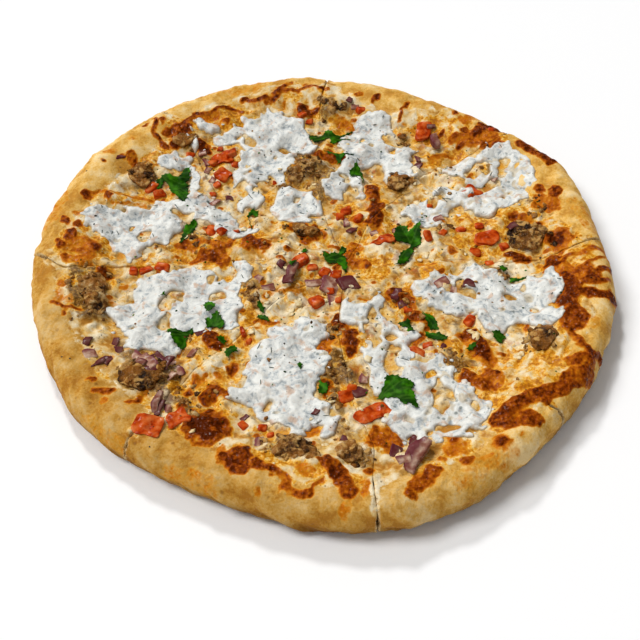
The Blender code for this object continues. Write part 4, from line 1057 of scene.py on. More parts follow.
# Outlines of each slice's pools, seen from above.
SAUCE = {
    "sauce_1": (
        ((96, 88), (109, 92), (112, 85), (117, 80), (120, 72), (120, 63), (117, 55), (113, 49),
         (106, 45), (97, 42), (89, 37), (82, 40), (74, 41), (67, 40), (63, 32), (58, 29), (51, 32),
         (45, 36), (42, 39), (46, 44), (51, 50), (59, 51), (64, 56), (67, 61), (71, 62), (73, 57),
         (79, 58), (85, 60), (83, 65), (73, 69), (66, 75), (69, 79), (76, 82), (84, 85), (90, 83)),
    ),
    "sauce_2": (
        ((24, 117), (29, 121), (35, 121), (39, 117), (42, 111), (43, 103), (45, 97), (51, 96),
         (54, 90), (52, 82), (53, 74), (51, 68), (46, 69), (41, 72), (37, 67), (33, 73), (29, 80),
         (23, 76), (22, 65), (24, 57), (22, 52), (17, 53), (13, 57), (10, 52), (5, 55), (0, 60),
         (3, 67), (8, 72), (9, 79), (14, 84), (14, 89), (12, 95), (12, 102), (15, 107), (18, 110)),
    ),
    "sauce_3": (
        ((-65, 99), (-59, 104), (-54, 108), (-49, 112), (-48, 117), (-39, 117), (-36, 120),
         (-28, 124), (-19, 120), (-11, 117), (-8, 111), (-6, 100), (-6, 91), (-11, 89), (-15, 87),
         (-17, 77), (-21, 70), (-22, 65), (-26, 64), (-30, 65), (-37, 65), (-41, 62), (-45, 65),
         (-51, 65), (-51, 72), (-48, 79), (-47, 88), (-45, 92), (-49, 99), (-56, 97), (-60, 95)),
        ((-47, 47), (-46, 52), (-43, 57), (-42, 62), (-39, 62), (-37, 56), (-34, 51), (-34, 47),
         (-36, 45), (-39, 47), (-42, 44), (-43, 40), (-46, 40)),
        ((-77, 111), (-73, 113), (-68, 111), (-63, 110), (-61, 105), (-66, 104), (-71, 106),
         (-75, 107)),
        ((-82, 102), (-77, 104), (-73, 99), (-71, 93), (-74, 91), (-80, 96)),
        ((-61, 43), (-58, 49), (-52, 41), (-47, 43), (-44, 39), (-46, 32), (-51, 30), (-57, 35)),
    ),
    "sauce_3b": (
        ((-27, 45), (-26, 52), (-24, 58), (-22, 60), (-15, 60), (-8, 57), (-6, 52), (-2, 49),
         (2, 47), (0, 43), (-2, 37), (-8, 36), (-9, 31), (-14, 32), (-21, 35), (-25, 39)),
    ),
    "sauce_4": (
        ((-129, 29), (-130, 35), (-129, 40), (-124, 42), (-117, 40), (-111, 39), (-104, 42),
         (-97, 43), (-93, 46), (-90, 50), (-84, 49), (-77, 50), (-74, 53), (-70, 55), (-65, 54),
         (-59, 52), (-57, 47), (-60, 43), (-62, 36), (-67, 34), (-72, 38), (-76, 33), (-78, 27),
         (-82, 23), (-83, 18), (-87, 17), (-93, 15), (-96, 11), (-100, 6), (-104, 3), (-109, 8),
         (-113, 11), (-115, 17), (-119, 21), (-124, 23), (-127, 25)),
        ((-94, 81), (-92, 86), (-87, 88), (-81, 86), (-76, 86), (-75, 80), (-71, 77), (-69, 71),
         (-68, 61), (-70, 57), (-70, 52), (-74, 51), (-76, 57), (-75, 65), (-76, 74), (-79, 79),
         (-83, 76), (-89, 76), (-92, 76)),
        ((-64, 43), (-59, 47), (-56, 41), (-50, 39), (-46, 32), (-51, 30), (-46, 29), (-39, 28),
         (-33, 26), (-38, 23), (-45, 20), (-51, 23), (-55, 28), (-60, 32), (-64, 38)),
    ),
    "sauce_5": (
        ((-107, -33), (-106, -29), (-104, -27), (-98, -23), (-97, -18), (-98, -12), (-95, -9),
         (-90, -8), (-85, -5), (-79, -3), (-74, 0), (-68, 0), (-61, -3), (-55, -6), (-52, -10),
         (-47, -10), (-45, -5), (-48, 0), (-47, 4), (-43, 6), (-41, 2), (-40, -4), (-40, -10),
         (-43, -14), (-42, -22), (-39, -29), (-42, -33), (-43, -38), (-46, -40), (-48, -43),
         (-53, -39), (-59, -41), (-59, -45), (-63, -46), (-66, -43), (-71, -47), (-73, -51),
         (-70, -56), (-74, -59), (-78, -58), (-84, -57), (-90, -57), (-95, -58), (-98, -53),
         (-100, -46), (-104, -39)),
    ),
    "sauce_6": (
        ((-38, -58), (-36, -54), (-31, -51), (-25, -48), (-24, -43), (-20, -41), (-16, -42),
         (-15, -37), (-11, -34), (-5, -35), (1, -38), (5, -42), (3, -47), (-1, -49), (-2, -54),
         (1, -59), (3, -64), (1, -70), (-3, -76), (-4, -82), (-2, -86), (3, -87), (5, -90),
         (3, -94), (2, -98), (-1, -99), (-6, -99), (-8, -102), (-10, -107), (-13, -106),
         (-15, -102), (-20, -99), (-26, -98), (-30, -94), (-32, -90), (-37, -87), (-43, -86),
         (-49, -84), (-51, -82), (-50, -79), (-44, -79), (-38, -78), (-37, -72), (-38, -67),
         (-36, -62)),
        ((2, -97), (7, -95), (8, -99), (6, -103), (3, -108), (0, -109), (0, -104), (2, -100)),
    ),
    "sauce_7": (
        ((9, -25), (13, -21), (15, -25), (21, -25), (26, -23), (29, -17), (32, -17), (34, -23),
         (31, -27), (30, -33), (33, -38), (37, -39), (39, -42), (45, -43), (49, -43), (48, -47),
         (44, -49), (43, -53), (45, -58), (44, -63), (47, -64), (52, -63), (56, -60), (58, -57),
         (59, -62), (60, -67), (63, -69), (65, -74), (69, -76), (71, -80), (71, -85), (74, -88),
         (77, -89), (79, -93), (79, -97), (76, -99), (74, -102), (77, -104), (74, -106), (70, -104),
         (68, -107), (70, -110), (66, -110), (61, -110), (57, -109), (54, -112), (51, -112),
         (49, -108), (45, -108), (42, -104), (39, -108), (36, -106), (33, -103), (30, -99),
         (30, -95), (32, -91), (31, -88), (28, -85), (26, -80), (25, -78), (24, -72), (23, -63),
         (21, -57), (22, -51), (20, -44), (17, -40), (11, -39), (9, -33)),
    ),
    "sauce_8": (
        ((46, -16), (49, -12), (54, -9), (56, -5), (64, -6), (68, -5), (71, -8), (75, -4), (80, -2),
         (86, -2), (92, -4), (94, -9), (98, -11), (103, -10), (108, -7), (114, -9), (119, -5),
         (122, -8), (124, -13), (124, -18), (121, -25), (119, -27), (120, -30), (120, -37),
         (118, -42), (115, -44), (111, -43), (104, -42), (98, -41), (94, -44), (91, -44), (85, -45),
         (82, -43), (79, -37), (77, -33), (70, -33), (64, -32), (57, -29), (53, -25), (49, -23),
         (46, -22)),
    ),
}
# Holes where blisters, meat or dice stand through: width and line of each.
SAUCE_HOLES = (
    (7, (-46, 102), (-43, 98)), (10, (-21, 94)), (5, (-26, 84)), (5, (-43, 71)),
    (6, (-29, 68), (-29, 60)), (4, (-14, 51)), (5, (-103, 28)), (5, (-110, 18)), (11, (-96, 22)),
    (8, (-82, 40), (-73, 38)), (8, (-58, -8)), (7, (-56, -20), (-51, -19)),
    (11, (-80, -27), (-75, -21)), (8, (-78, -37), (-78, -42)), (5, (-95, -42)), (7, (-48, -82)),
    (6, (-10, -44)), (5, (-25, -89)), (4, (-21, -93)), (6, (-25, -99)), (4, (-29, -56)),
    (5, (23, 102)), (5, (29, 94)), (8, (37, 101), (46, 98)), (7, (41, 93)), (9, (25, 76), (31, 76)),
    (6, (12, 70), (13, 64)), (7, (16, 59), (19, 57)), (9, (84, 70), (92, 74)),
    (7, (90, 59), (98, 64)), (7, (105, 80), (102, 69)), (5, (113, 60)), (6, (61, 48), (68, 53)),
    (5, (82, 53)), (8, (78, 44), (72, 38)), (5, (102, 53)), (5, (111, 74)),
    (10, (23, -43), (26, -50)), (7, (34, -46)), (8, (34, -54), (33, -61), (36, -68)),
    (6, (25, -30), (24, -37)), (6, (53, -71)), (10, (57, -81), (56, -91)),
    (8, (57, -103), (63, -103)), (6, (72, -91)), (4, (40, -98)), (5, (76, -101)),
    (8, (63, -14), (69, -16), (76, -18)), (7, (72, -11)), (8, (97, -21)), (6, (105, -22)),
    (6, (108, -32)), (6, (117, -29)), (5, (75, -31)), (4, (90, -31)), (4, (87, -37)),
)
SAUCE_SPACING = 0.6
SAUCE_DEPTH = 1.5
SAUCE_LIP = 0.25
SHOULDER = 2.6                  # it is rounded this far in from its edge
OUTSIDE = 6                     # distances outside a pool are kept only up to this


def outline_room(outline):
    """Distance inside a closed smooth outline, and below 0 outside it."""
    line = through(outline, 4, closed=True)
    low, high = np.min(line, axis=0) - OUTSIDE, np.max(line, axis=0) + OUTSIDE
    part = (slice(*((np.array([low[1], high[1]]) + HALF) / STEP).astype(int)),
            slice(*((np.array([low[0], high[0]]) + HALF) / STEP).astype(int)))
    x, y = RAGGED_X[part], RAGGED_Y[part]
    inside = np.zeros(x.shape, bool)
    for a, b in zip(line, line[1:] + line[:1]):
        if a[1] != b[1]:
            left = x < a[0] + (b[0] - a[0]) * (y - a[1]) / (b[1] - a[1])
            inside ^= ((a[1] > y) != (b[1] > y)) & left
    away = reach_from(line + line[:1], x, y)
    room = np.full(X.shape, -float(OUTSIDE))
    room[part] = np.where(inside, away, -away)
    return room


fingers = 0.4 + 0.45 * lumpy(6, 41) + 0.7 * lumpy(2.6, 42)
torn = 0.8 * lumpy(4.5, 43) + 0.7 * lumpy(2.4, 44)
hole_room = np.full(X.shape, 9.0)
for width, *line in SAUCE_HOLES:
    away = reach_from(line, RAGGED_X, RAGGED_Y)
    hole_room = np.minimum(hole_room, away - 0.36 * width - 0.5 * torn)
# Here the sauce was spread so thin that it broke open round what lies under it.
THINNED = (
    (1, 30, (84, 70), (104, 66)), (1, 16, (60, 42), (96, 48)), (1, 22, (60, -70), (60, -104)),
    (1, 14, (20, -40), (40, -60)), (0.9, 14, (52, -18), (70, -24)), (0.7, 20, (20, 100), (34, 104)),
    (0.9, 14, (48, -16), (60, -14)), (1.6, 12, (112, 60), (104, 52)),
    (1.0, 14, (66, -96), (78, -104)), (0.6, 20, (-36, 96), (-24, 78)),
    (0.6, 16, (-20, -60), (-24, -90)), (0.6, 14, (20, 66), (8, 60)),
    (0.5, 16, (100, -22), (108, -30)), (0.5, 12, (-44, 103)), (0.5, 12, (-90, 14)),
)
thinned = painted(THINNED, fade=6)
pinholes = (3.4 - 1.3 * thinned - torn) * 1.6
sauce_lumps = 0.50 * lumpy(13, 45) + 0.17 * lumpy(5.5, 46) + 0.06 * lumpy(2.4, 47)
sauce_lumps = sauce_lumps - 0.35 * np.abs(lumpy(9, 48))
ground_for_sauce = np.maximum(soften(cheese_top, 1.8), cheese_top - 0.2)

# Yoghurt with herbs: wet, soft white, dark flecks, beige where thin, and grey-blue that is partly
# cucumber and partly painted shade, where its cloudy relief dips and in its hollows.
yoghurt, tree, shader, place = new_finish("yoghurt_sauce")
thin = add(tree, "Attribute", attribute_name="thin", out="Fac")
cloud = add(tree, "TexNoise", {"Vector": place, "Scale": cells(6), "Detail": 5, "Roughness": 0.62,
                               "Distortion": 1.2})
hollow = add(tree, "Attribute", attribute_name="hollow", out="Fac")
# Hollows and the dips of the cloudy relief are painted darker grey-blue, as shade.
tint = add(tree, "Math", {0: hollow, 1: -0.06, 2: cloud}, operation="MULTIPLY_ADD")
fine = add(tree, "TexNoise", {"Vector": place, "Scale": cells(1.6), "Detail": 3, "Roughness": 0.6})
tint = add(tree, "Math", {0: fine, 1: 0.35, 2: tint}, operation="MULTIPLY_ADD")
white = add(tree, "ValToRGB", {"Fac": tint}, stops=(
    (0.50, "#989FA1"), (0.58, "#C0C4C2"), (0.66, "#DADAD4"), (0.79, "#EAEAE3")))
shreds = add(tree, "TexVoronoi", {"Vector": place, "Scale": cells(4.2)})
gate = add(tree, "TexNoise", {"Vector": place, "Scale": cells(9), "Detail": 2})
gate = add(tree, "MapRange", {"Value": gate, "From Min": 0.48, "From Max": 0.60, "To Max": 0.20})
shred = add(tree, "Math", {0: gate, 1: shreds}, operation="SUBTRACT")
shred = add(tree, "MapRange", {"Value": shred, "From Min": -0.04, "From Max": 0.05, "To Max": 0.65})
stain = add(tree, "TexNoise", {"Vector": place, "Scale": cells(5), "Detail": 3, "Distortion": 0.5})
stain = add(tree, "MapRange", {"Value": stain, "From Min": 0.57, "From Max": 0.68, "To Max": 0.62})
flecks = add(tree, "TexVoronoi", {"Vector": place, "Scale": cells(3.4)})
fleck = add(tree, "MapRange", {"Value": flecks, "From Min": 0.08, "From Max": 0.16,
                               "To Min": 0.6, "To Max": 0.0})
picked = add(tree, "MapRange", {"Value": cloud, "From Min": 0.50, "From Max": 0.58})
fleck = add(tree, "Math", {0: fleck, 1: picked}, operation="MULTIPLY")
seep = add(tree, "MapRange", {"Value": fine, "To Min": -0.4, "To Max": 0.4})
seep = add(tree, "Math", {0: thin, 1: seep}, operation="ADD")
seep = add(tree, "MapRange", {"Value": seep, "From Min": 0.45, "From Max": 1.05, "To Max": 0.65})
for factor, colour in (
        (shred, "#5F6B66"), (stain, "#C99B74"), (fleck, "#46503F"), (seep, "#CDB890")):
    white = add(tree, "Mix", {FACTOR: factor, UNDER: white, OVER: linear(colour)}, **BLEND)
relief = add(tree, "Math", {0: fine, 1: 0.50, 2: cloud}, operation="MULTIPLY_ADD")
bump = add(tree, "Bump", {"Height": relief, "Strength": 0.75, "Distance": 0.9 * MM})
plug(tree, shader, {
    "Base Color": white, "Normal": bump, "Roughness": 0.33, "Specular IOR Level": 0.30,
    "Subsurface Weight": 0.10, "Subsurface Radius": (1.0, 0.9, 0.8), "Subsurface Scale": 1.5 * MM})

sauced = np.zeros(X.shape)      # 1 where there is sauce to stir dill into
for name, outlines in SAUCE.items():
    number = int(name.split("_")[1][0])
    room = np.max([outline_room(outline) for outline in outlines], axis=0) + fingers
    room = soften(np.clip(np.minimum(np.minimum(room, hole_room), pinholes), -4, 4), 0.55)
    room = np.minimum(room, slice_rooms[number] - half_gap - 0.2)
    shoulder = np.sqrt(1 - (1 - np.clip(room / SHOULDER, 0, 1)) ** 2)
    depth = SAUCE_LIP + (SAUCE_DEPTH - SAUCE_LIP) * shoulder + sauce_lumps * shoulder
    ground = ground_for_sauce * shoulder + cheese_top * (1 - shoulder)
    top = ground + np.maximum(depth, SAUCE_LIP)
    piece = sheet(f"{name}_spooned", room, top, cheese_top - 0.5, SAUCE_SPACING)
    x, y, z = mesh_arrays(piece.data)[0].T
    thin_edge = 1 - ease(read(room, x, y), 0, 1.5)
    thin_inside = read(thinned * ease(torn, -0.2, 1.2), x, y)
    set_layers(piece.data, thin=np.maximum(thin_edge, thin_inside),
               hollow=read(hollows(top, 1.4, 0.3), x, y))
    surface[room > 0] = np.maximum(surface, top)[room > 0]
    sauced[room > 1] = 1
    serve(piece, yoghurt, name)

POOLS = [outline for outlines in SAUCE.values() for outline in outlines]
DRIPS = spots_near([(1, 11, point) for pool in POOLS for point in pool], 70, (0.9, 2.6), 6,
                   spread=0.9, thick=0.25)
lay_out("sauce_drips", DRIPS, crumb, yoghurt)


# ---- Tomato: tomato_1 to tomato_9, and small dice ----------------------------
# Ripe tomato cut into small dice and baked on the cheese. The heat softened its edges and turned
# the wet flesh orange-red; paler patches on it are painted as the sheen of an oil film.
ripe_tomato, tree, shader, place = new_finish("baked_tomato")
flesh = add(tree, "TexNoise", {"Vector": place, "Scale": cells(4), "Detail": 4})
red = add(tree, "ValToRGB", {"Fac": flesh}, stops=(
    (0.34, "#882400"), (0.44, "#AE3604"), (0.55, "#C64E12"), (0.70, "#D8743A")))
# Paler patches, painted as the sheen of an oil film.
painted_sheen = add(tree, "TexNoise", {"Vector": place, "Scale": cells(3), "Detail": 3, "Distortion": 0.5})
painted_sheen = add(tree, "MapRange", {"Value": painted_sheen, "From Min": 0.54, "From Max": 0.64, "To Max": 0.30})
red = add(tree, "Mix", {FACTOR: painted_sheen, UNDER: red, OVER: linear("#D08048")}, **BLEND)
bump = add(tree, "Bump", {"Height": flesh, "Strength": 0.35, "Distance": 0.6 * MM})
plug(tree, shader, {"Base Color": red, "Normal": bump, "Roughness": 0.20,
                    "Specular IOR Level": 0.06})

DICE_VOXEL = 0.5
DICE_TURN = 25                  # each cut block is turned this much from the one before it


def square_up(piece, turn, power=3.6):
    """Turns a rounded lump into a cut block with soft corners."""
    corners, _ = mesh_arrays(piece.data)
    middle = (corners.max(axis=0) + corners.min(axis=0)) / 2
    half = (corners.max(axis=0) - corners.min(axis=0)) / 2
    angle = math.radians(turn)
    turned = np.array([[math.cos(angle), math.sin(angle), 0],
                       [-math.sin(angle), math.cos(angle), 0],
                       [0, 0, 1]])
    own = np.abs(((corners - middle) / half) @ turned.T)
    swell = np.sqrt((own ** 2).sum(axis=1)) / (own ** power).sum(axis=1) ** (1 / power)
    put_back(piece.data, middle + (corners - middle) * (0.9 * swell[:, None]))


for number in range(1, 10):
    piece = replica(f"tomato_{number}", "diced", DICE_VOXEL, rounds=6)
    square_up(piece, DICE_TURN * number)
    roughen(piece, ((7, 1.2, 2), (3, 0.6, 5)), sink=1.2, squash=0.30)
    serve(piece, ripe_tomato, f"tomato_{number}")
    heap_up(piece)


def dice(bm, draw):
    """A cut piece with softened corners."""
    bmesh.ops.create_cube(bm, size=0.92)
    for vert in bm.verts:
        vert.co *= draw.uniform(0.75, 1.1)
    bmesh.ops.bevel(bm, geom=bm.edges[:], offset=0.2, segments=2, profile=0.5, affect="EDGES",
                    material=-1)
    shake(bm.verts, draw, 0.3)


# Places of the small pieces: x, y, length, width, height and turn.
TOMATO_BITS = (
    (-92, 56, 8, 6, 4, 20), (-97, 60, 9, 5, 4, 60), (-53, 88, 8, 7, 4, 20), (-63, 80, 7, 6, 4, 50),
    (-51, 80, 6, 5, 4, 10), (-60, 93, 5, 4, 3, 80), (-60, 63, 5, 5, 3, 30), (-62, 56, 5, 4, 3, 0),
    (-61, 28, 7, 13, 4.5, 8), (-55, 25, 6, 6, 4, 40), (-93, -3, 9, 6, 4, 20),
    (-84, -2, 9, 6, 4, -20), (-99, -5, 5, 5, 3, 0), (-12, 4, 12, 8, 4.5, 30), (-5, 0, 7, 6, 4, 10),
    (7, -4, 8, 7, 4, 0), (1, -3, 7, 6, 4, 60), (-3, -23, 9, 8, 5, 30), (8, -22, 4, 4, 3, 0),
    (57, 20, 5, 8, 4, 20), (66, 24, 5, 4, 3, 50), (98, 15, 6, 5, 3, 20), (82, 12, 8, 6, 4, -20),
    (76, 28, 7, 6, 4, 30), (86, 30, 6, 6, 3, 0), (89, 4, 6, 5, 3, 0), (-28, -102, 5, 5, 3, 0),
    (-37, -101, 4, 5, 3, 40), (-24, -106, 4, 3, 3, 0), (11, -84, 9, 7, 4, 20),
    (14, -79, 6, 5, 3, 0), (24, 124, 8, 6, 4, 10), (-12, 121, 6, 5, 3, 30), (-8, 117, 5, 4, 3, 0),
    (47, -57, 10, 6, 4, -30), (52, -53, 6, 5, 3, 0), (75, -36, 9, 6, 4, 50),
    (-47, 26, 4, 3, 2.5, 0), (13, 42, 8, 7, 4, 20), (20, 35, 8, 5, 4, 60), (10, 36, 5, 5, 3, 0),
    (60, 46, 4, 3, 2.5, 0), (-100, -3, 4, 4, 3, 0), (-40, -44, 8, 3, 3, 110),
    (-36, -50, 5, 3, 3, 60), (4, -16, 5, 4, 3, 0), (100, 104, 4, 4, 3, 0), (-77, 88, 6, 4, 3, 0),
    (44, -30, 5, 4, 3, 0), (-27, 66, 3, 3, 2.5, 0),
)
lay_out("tomato_bits", TOMATO_BITS, dice, ripe_tomato, rise=-0.1)


# ---- Red onion: onion_1 to onion_4, and bits ---------------------------------
# Red onion cut into short curved strips and squares: moist flesh, dulled by the heat, with
# purple skin along each layer and some bits all purple.
ONION_VOXEL = 0.5
ONION_WIDTH = 7
# Where each strip's middle is, and the turn of its length.
ONION_TURNS = {"onion_1": (43, -121, 60), "onion_2": (67, 96, 100),
               "onion_3": (-15, -5, 75), "onion_4": (-77, -91, 80)}

# Baked red onion: moist and dusky pink, with dark purple skin along one side.
red_onion, tree, shader, place = new_finish("red_onion")
across = add(tree, "Attribute", attribute_name="across", out="Fac")
flesh = add(tree, "TexNoise", {"Vector": place, "Scale": cells(3.5), "Detail": 3})
purple = add(tree, "ValToRGB", {"Fac": flesh}, stops=(
    (0.38, "#86503E"), (0.50, "#A87C68"), (0.62, "#C8A890")))
bent = add(tree, "Math", {0: flesh, 1: 0.8, 2: across}, operation="MULTIPLY_ADD")
skin_side = add(tree, "MapRange", {"Value": bent, "From Min": 0.52, "From Max": 0.80,
                                   "To Max": 0.9})
own_tone = add(tree, "Attribute", attribute_name="tone", out="Fac")
deep_skin = add(tree, "MapRange", {"Value": own_tone, "From Min": 0.45, "From Max": 0.60,
                                   "To Max": 0.85})
for factor, colour in ((skin_side, "#702E38"), (deep_skin, "#521820")):
    purple = add(tree, "Mix", {FACTOR: factor, UNDER: purple, OVER: linear(colour)}, **BLEND)
bump = add(tree, "Bump", {"Height": flesh, "Strength": 0.5, "Distance": 0.8 * MM})
plug(tree, shader, {"Base Color": purple, "Normal": bump, "Roughness": 0.22,
                    "Specular IOR Level": 0.08})

for name, (x, y, turn) in ONION_TURNS.items():
    piece = replica(name, "sliced", ONION_VOXEL, rounds=4)
    roughen(piece, ((4, 0.7, 2), (1.8, 0.25, 5)))
    corners, _ = mesh_arrays(piece.data)
    angle = math.radians(turn)
    sideways = (corners[:, 1] - y) * math.cos(angle) - (corners[:, 0] - x) * math.sin(angle)
    set_layers(piece.data, across=sideways / ONION_WIDTH)
    serve(piece, red_onion, name)
    heap_up(piece)


def strip(bm, draw):
    """A short bent strip."""
    bmesh.ops.create_cube(bm, size=1)
    bmesh.ops.scale(bm, vec=(0.9, 1.0, 0.42), verts=bm.verts)
    bmesh.ops.bevel(bm, geom=bm.edges[:], offset=0.10, segments=2, profile=0.5, affect="EDGES",
                    material=-1)
    along = [edge for edge in bm.edges if abs(edge.verts[0].co.x - edge.verts[1].co.x) > 0.5]
    bmesh.ops.subdivide_edges(bm, edges=along, cuts=4, use_grid_fill=True)
    bend = draw.uniform(-0.6, 0.6)
    for vert in bm.verts:
        vert.co.y += bend * vert.co.x ** 2
    shake(bm.verts, draw, 0.5)


ONION_BITS = (
    (-116, 81, 7, 4, 3, 30), (-66, 74, 6, 3, 2.5, 70), (-67, 82, 7, 3, 3, 110),
    (-63, 66, 5, 3, 2.5, 60), (-70, 88, 5, 3, 3, 20), (65, 108, 6, 3, 3, 10), (55, 76, 7, 4, 3, 60),
    (56, 84, 5, 3, 2.5, 100), (-18, -11, 8, 5, 3.5, 80), (-4, -10, 11, 4, 3.5, 10),
    (4, -12, 11, 10, 4, 70), (13, -13, 10, 8, 4, 20), (5, -21, 8, 4, 3, 100),
    (42, -108, 8, 3.5, 3, 70), (-116, -54, 7, 4, 3, 80), (-113, -62, 7, 5, 3, 20),
    (-104, -65, 6, 4, 3, 50), (-84, -66, 12, 5, 3.5, -50), (-78, -62, 10, 4, 3, -60),
    (-90, -62, 9, 4, 3, -40), (-76, -94, 10, 3, 3, 80), (-72, -95, 8, 3, 3, 95),
    (-37, -96, 6, 3, 3, 40), (-29, -111, 7, 4, 3, 80), (38, -20, 8, 4, 3, 70),
    (41, -26, 6, 4, 3, 20), (17, 132, 6, 4, 3, 60), (20, 127, 5, 3, 2.5, 0),
    (18, -80, 9, 7, 3.5, 40), (20, -73, 6, 4, 3, 80), (103, 27, 6, 4, 3, 30),
    (-60, 49, 6, 3, 2.5, 40), (62, -12, 9, 5, 3, 30), (68, -15, 7, 4, 3, 80), (76, -13, 7, 5, 3, 0),
    (-61, -46, 6, 3, 3, 20), (40, 29, 5, 3, 2.5, 70), (17, 28, 8, 4, 3, 50), (13, 33, 6, 3, 3, 100),
    (-3, -94, 5, 3, 2.5, 60), (10, -108, 6, 4, 3, 70), (36, -124, 7, 4, 3, 20),
    (33, -117, 8, 5, 3, 70), (-64, -58, 6, 3, 3, 60), (-34, -9, 6, 4, 3, 60),
    (-28, -16, 7, 4, 3, 20), (60, -53, 5, 3, 2.5, 60), (28, 26, 5, 3, 2.5, 20),
    (-84, -64, 8, 4, 3, 40), (-80, -62, 7, 3, 3, -50), (-76, -66, 9, 4, 3, 70),
    (-73, -62, 7, 3, 3, 20), (-70, -68, 7, 4, 3, -60), (-83, -71, 8, 3, 3, 10),
    (-74, -73, 8, 4, 3, 50), (-88, -67, 6, 3, 3, -30), (-103, -52, 8, 4, 2.5, 80),
    (-100, -58, 7, 4, 2.5, 100), (-109, -67, 8, 3, 3, 30), (-105, -64, 6, 3, 3, -20),
    (64, 36, 6, 4, 3, 30), (98, 66, 5, 3, 2.5, 60), (-52, 52, 5, 3, 2.5, 0), (-22, 0, 5, 4, 3, 60),
)
lay_out("onion_bits", ONION_BITS, strip, red_onion, rise=0)


# ---- Curds, pepper and loose mince -------------------------------------------
# Crumbled white curd cheese, soft and cream, which only began to melt. Coarse black pepper
# and fine crumbs of mince fell everywhere.

# White curd cheese: crumbly and dull, gold where it caught the heat.
white_curd, tree, shader, place = new_finish("white_curd_cheese")
crumbly = add(tree, "TexNoise", {"Vector": place, "Scale": cells(2), "Detail": 3})
cream = add(tree, "ValToRGB", {"Fac": crumbly}, stops=(
    (0.34, "#C9A264"), (0.48, "#E4CB96"), (0.66, "#F2E2BC")))
plug(tree, shader, {"Base Color": cream, "Roughness": 0.4, "Specular IOR Level": 0.25})
BARE_MIDDLE = ((0.5, 60, (-70, 0), (0, 0), (60, 10)), (0.4, 60, (-60, -80), (0, -110), (40, -110)),
               (0.4, 50, (-20, 80), (40, 60)))
OFF_RIM = 32                    # the curds lie at least this far in
CURDS = spots_near([stroke for stroke in PALE if read(INSET, *stroke[2]) > OFF_RIM],
                   46, (2.0, 5.0), 21, spread=1.3, thick=0.16)
CURDS += spots_near(BARE_MIDDLE, 24, (1.6, 4.0), 22, thick=0.16)
lay_out("curd_crumbs", CURDS, crumb, white_curd)

# Cracked black pepper: matt, almost black.
black_pepper, tree, shader, _ = new_finish("black_pepper")
plug(tree, shader, {"Base Color": linear("#2A1D12"), "Roughness": 0.6})


def grain(bm, draw):
    """A cracked grain."""
    bmesh.ops.create_icosphere(bm, subdivisions=1, radius=0.5)
    shake(bm.verts, draw, 0.8)


# The grains that stand out on the rim, and then many finer ones anywhere.
PEPPER_SPOTS = ((-125, 74), (48, 138), (60, 146), (-126, -65), (-122, -66), (-128, -53),
                (-92, -116), (-133, 66), (-124, 33), (-116, 73), (116, 6), (96, 90), (-34, -127),
                (-78, -116), (-137, -48))
PEPPER = [(x, y, 1.5, 1.2, 1.0, 0) for x, y in PEPPER_SPOTS]
PEPPER += spots_near(((1, 200, (-30, 0), (30, 0)),), 190, (0.5, 1.1), 23)
lay_out("pepper_grains", PEPPER, grain, black_pepper)

ALL_OVER = ((1, 190, (-30, 0), (30, 0)),)
LOOSE_MINCE = spots_near(ALL_OVER, 70, (1.0, 2.6), 25, thick=0.4)
lay_out("loose_mince", LOOSE_MINCE, crumb, cooked_mince)


# ---- Parsley: parsley_1 to parsley_9, and small leaves -----------------------
# Fresh flat-leaf parsley, roughly torn and dropped on last: thin toothed leaves, deep green,
# with sunken ribs. They lie lightly and their edges curl up.

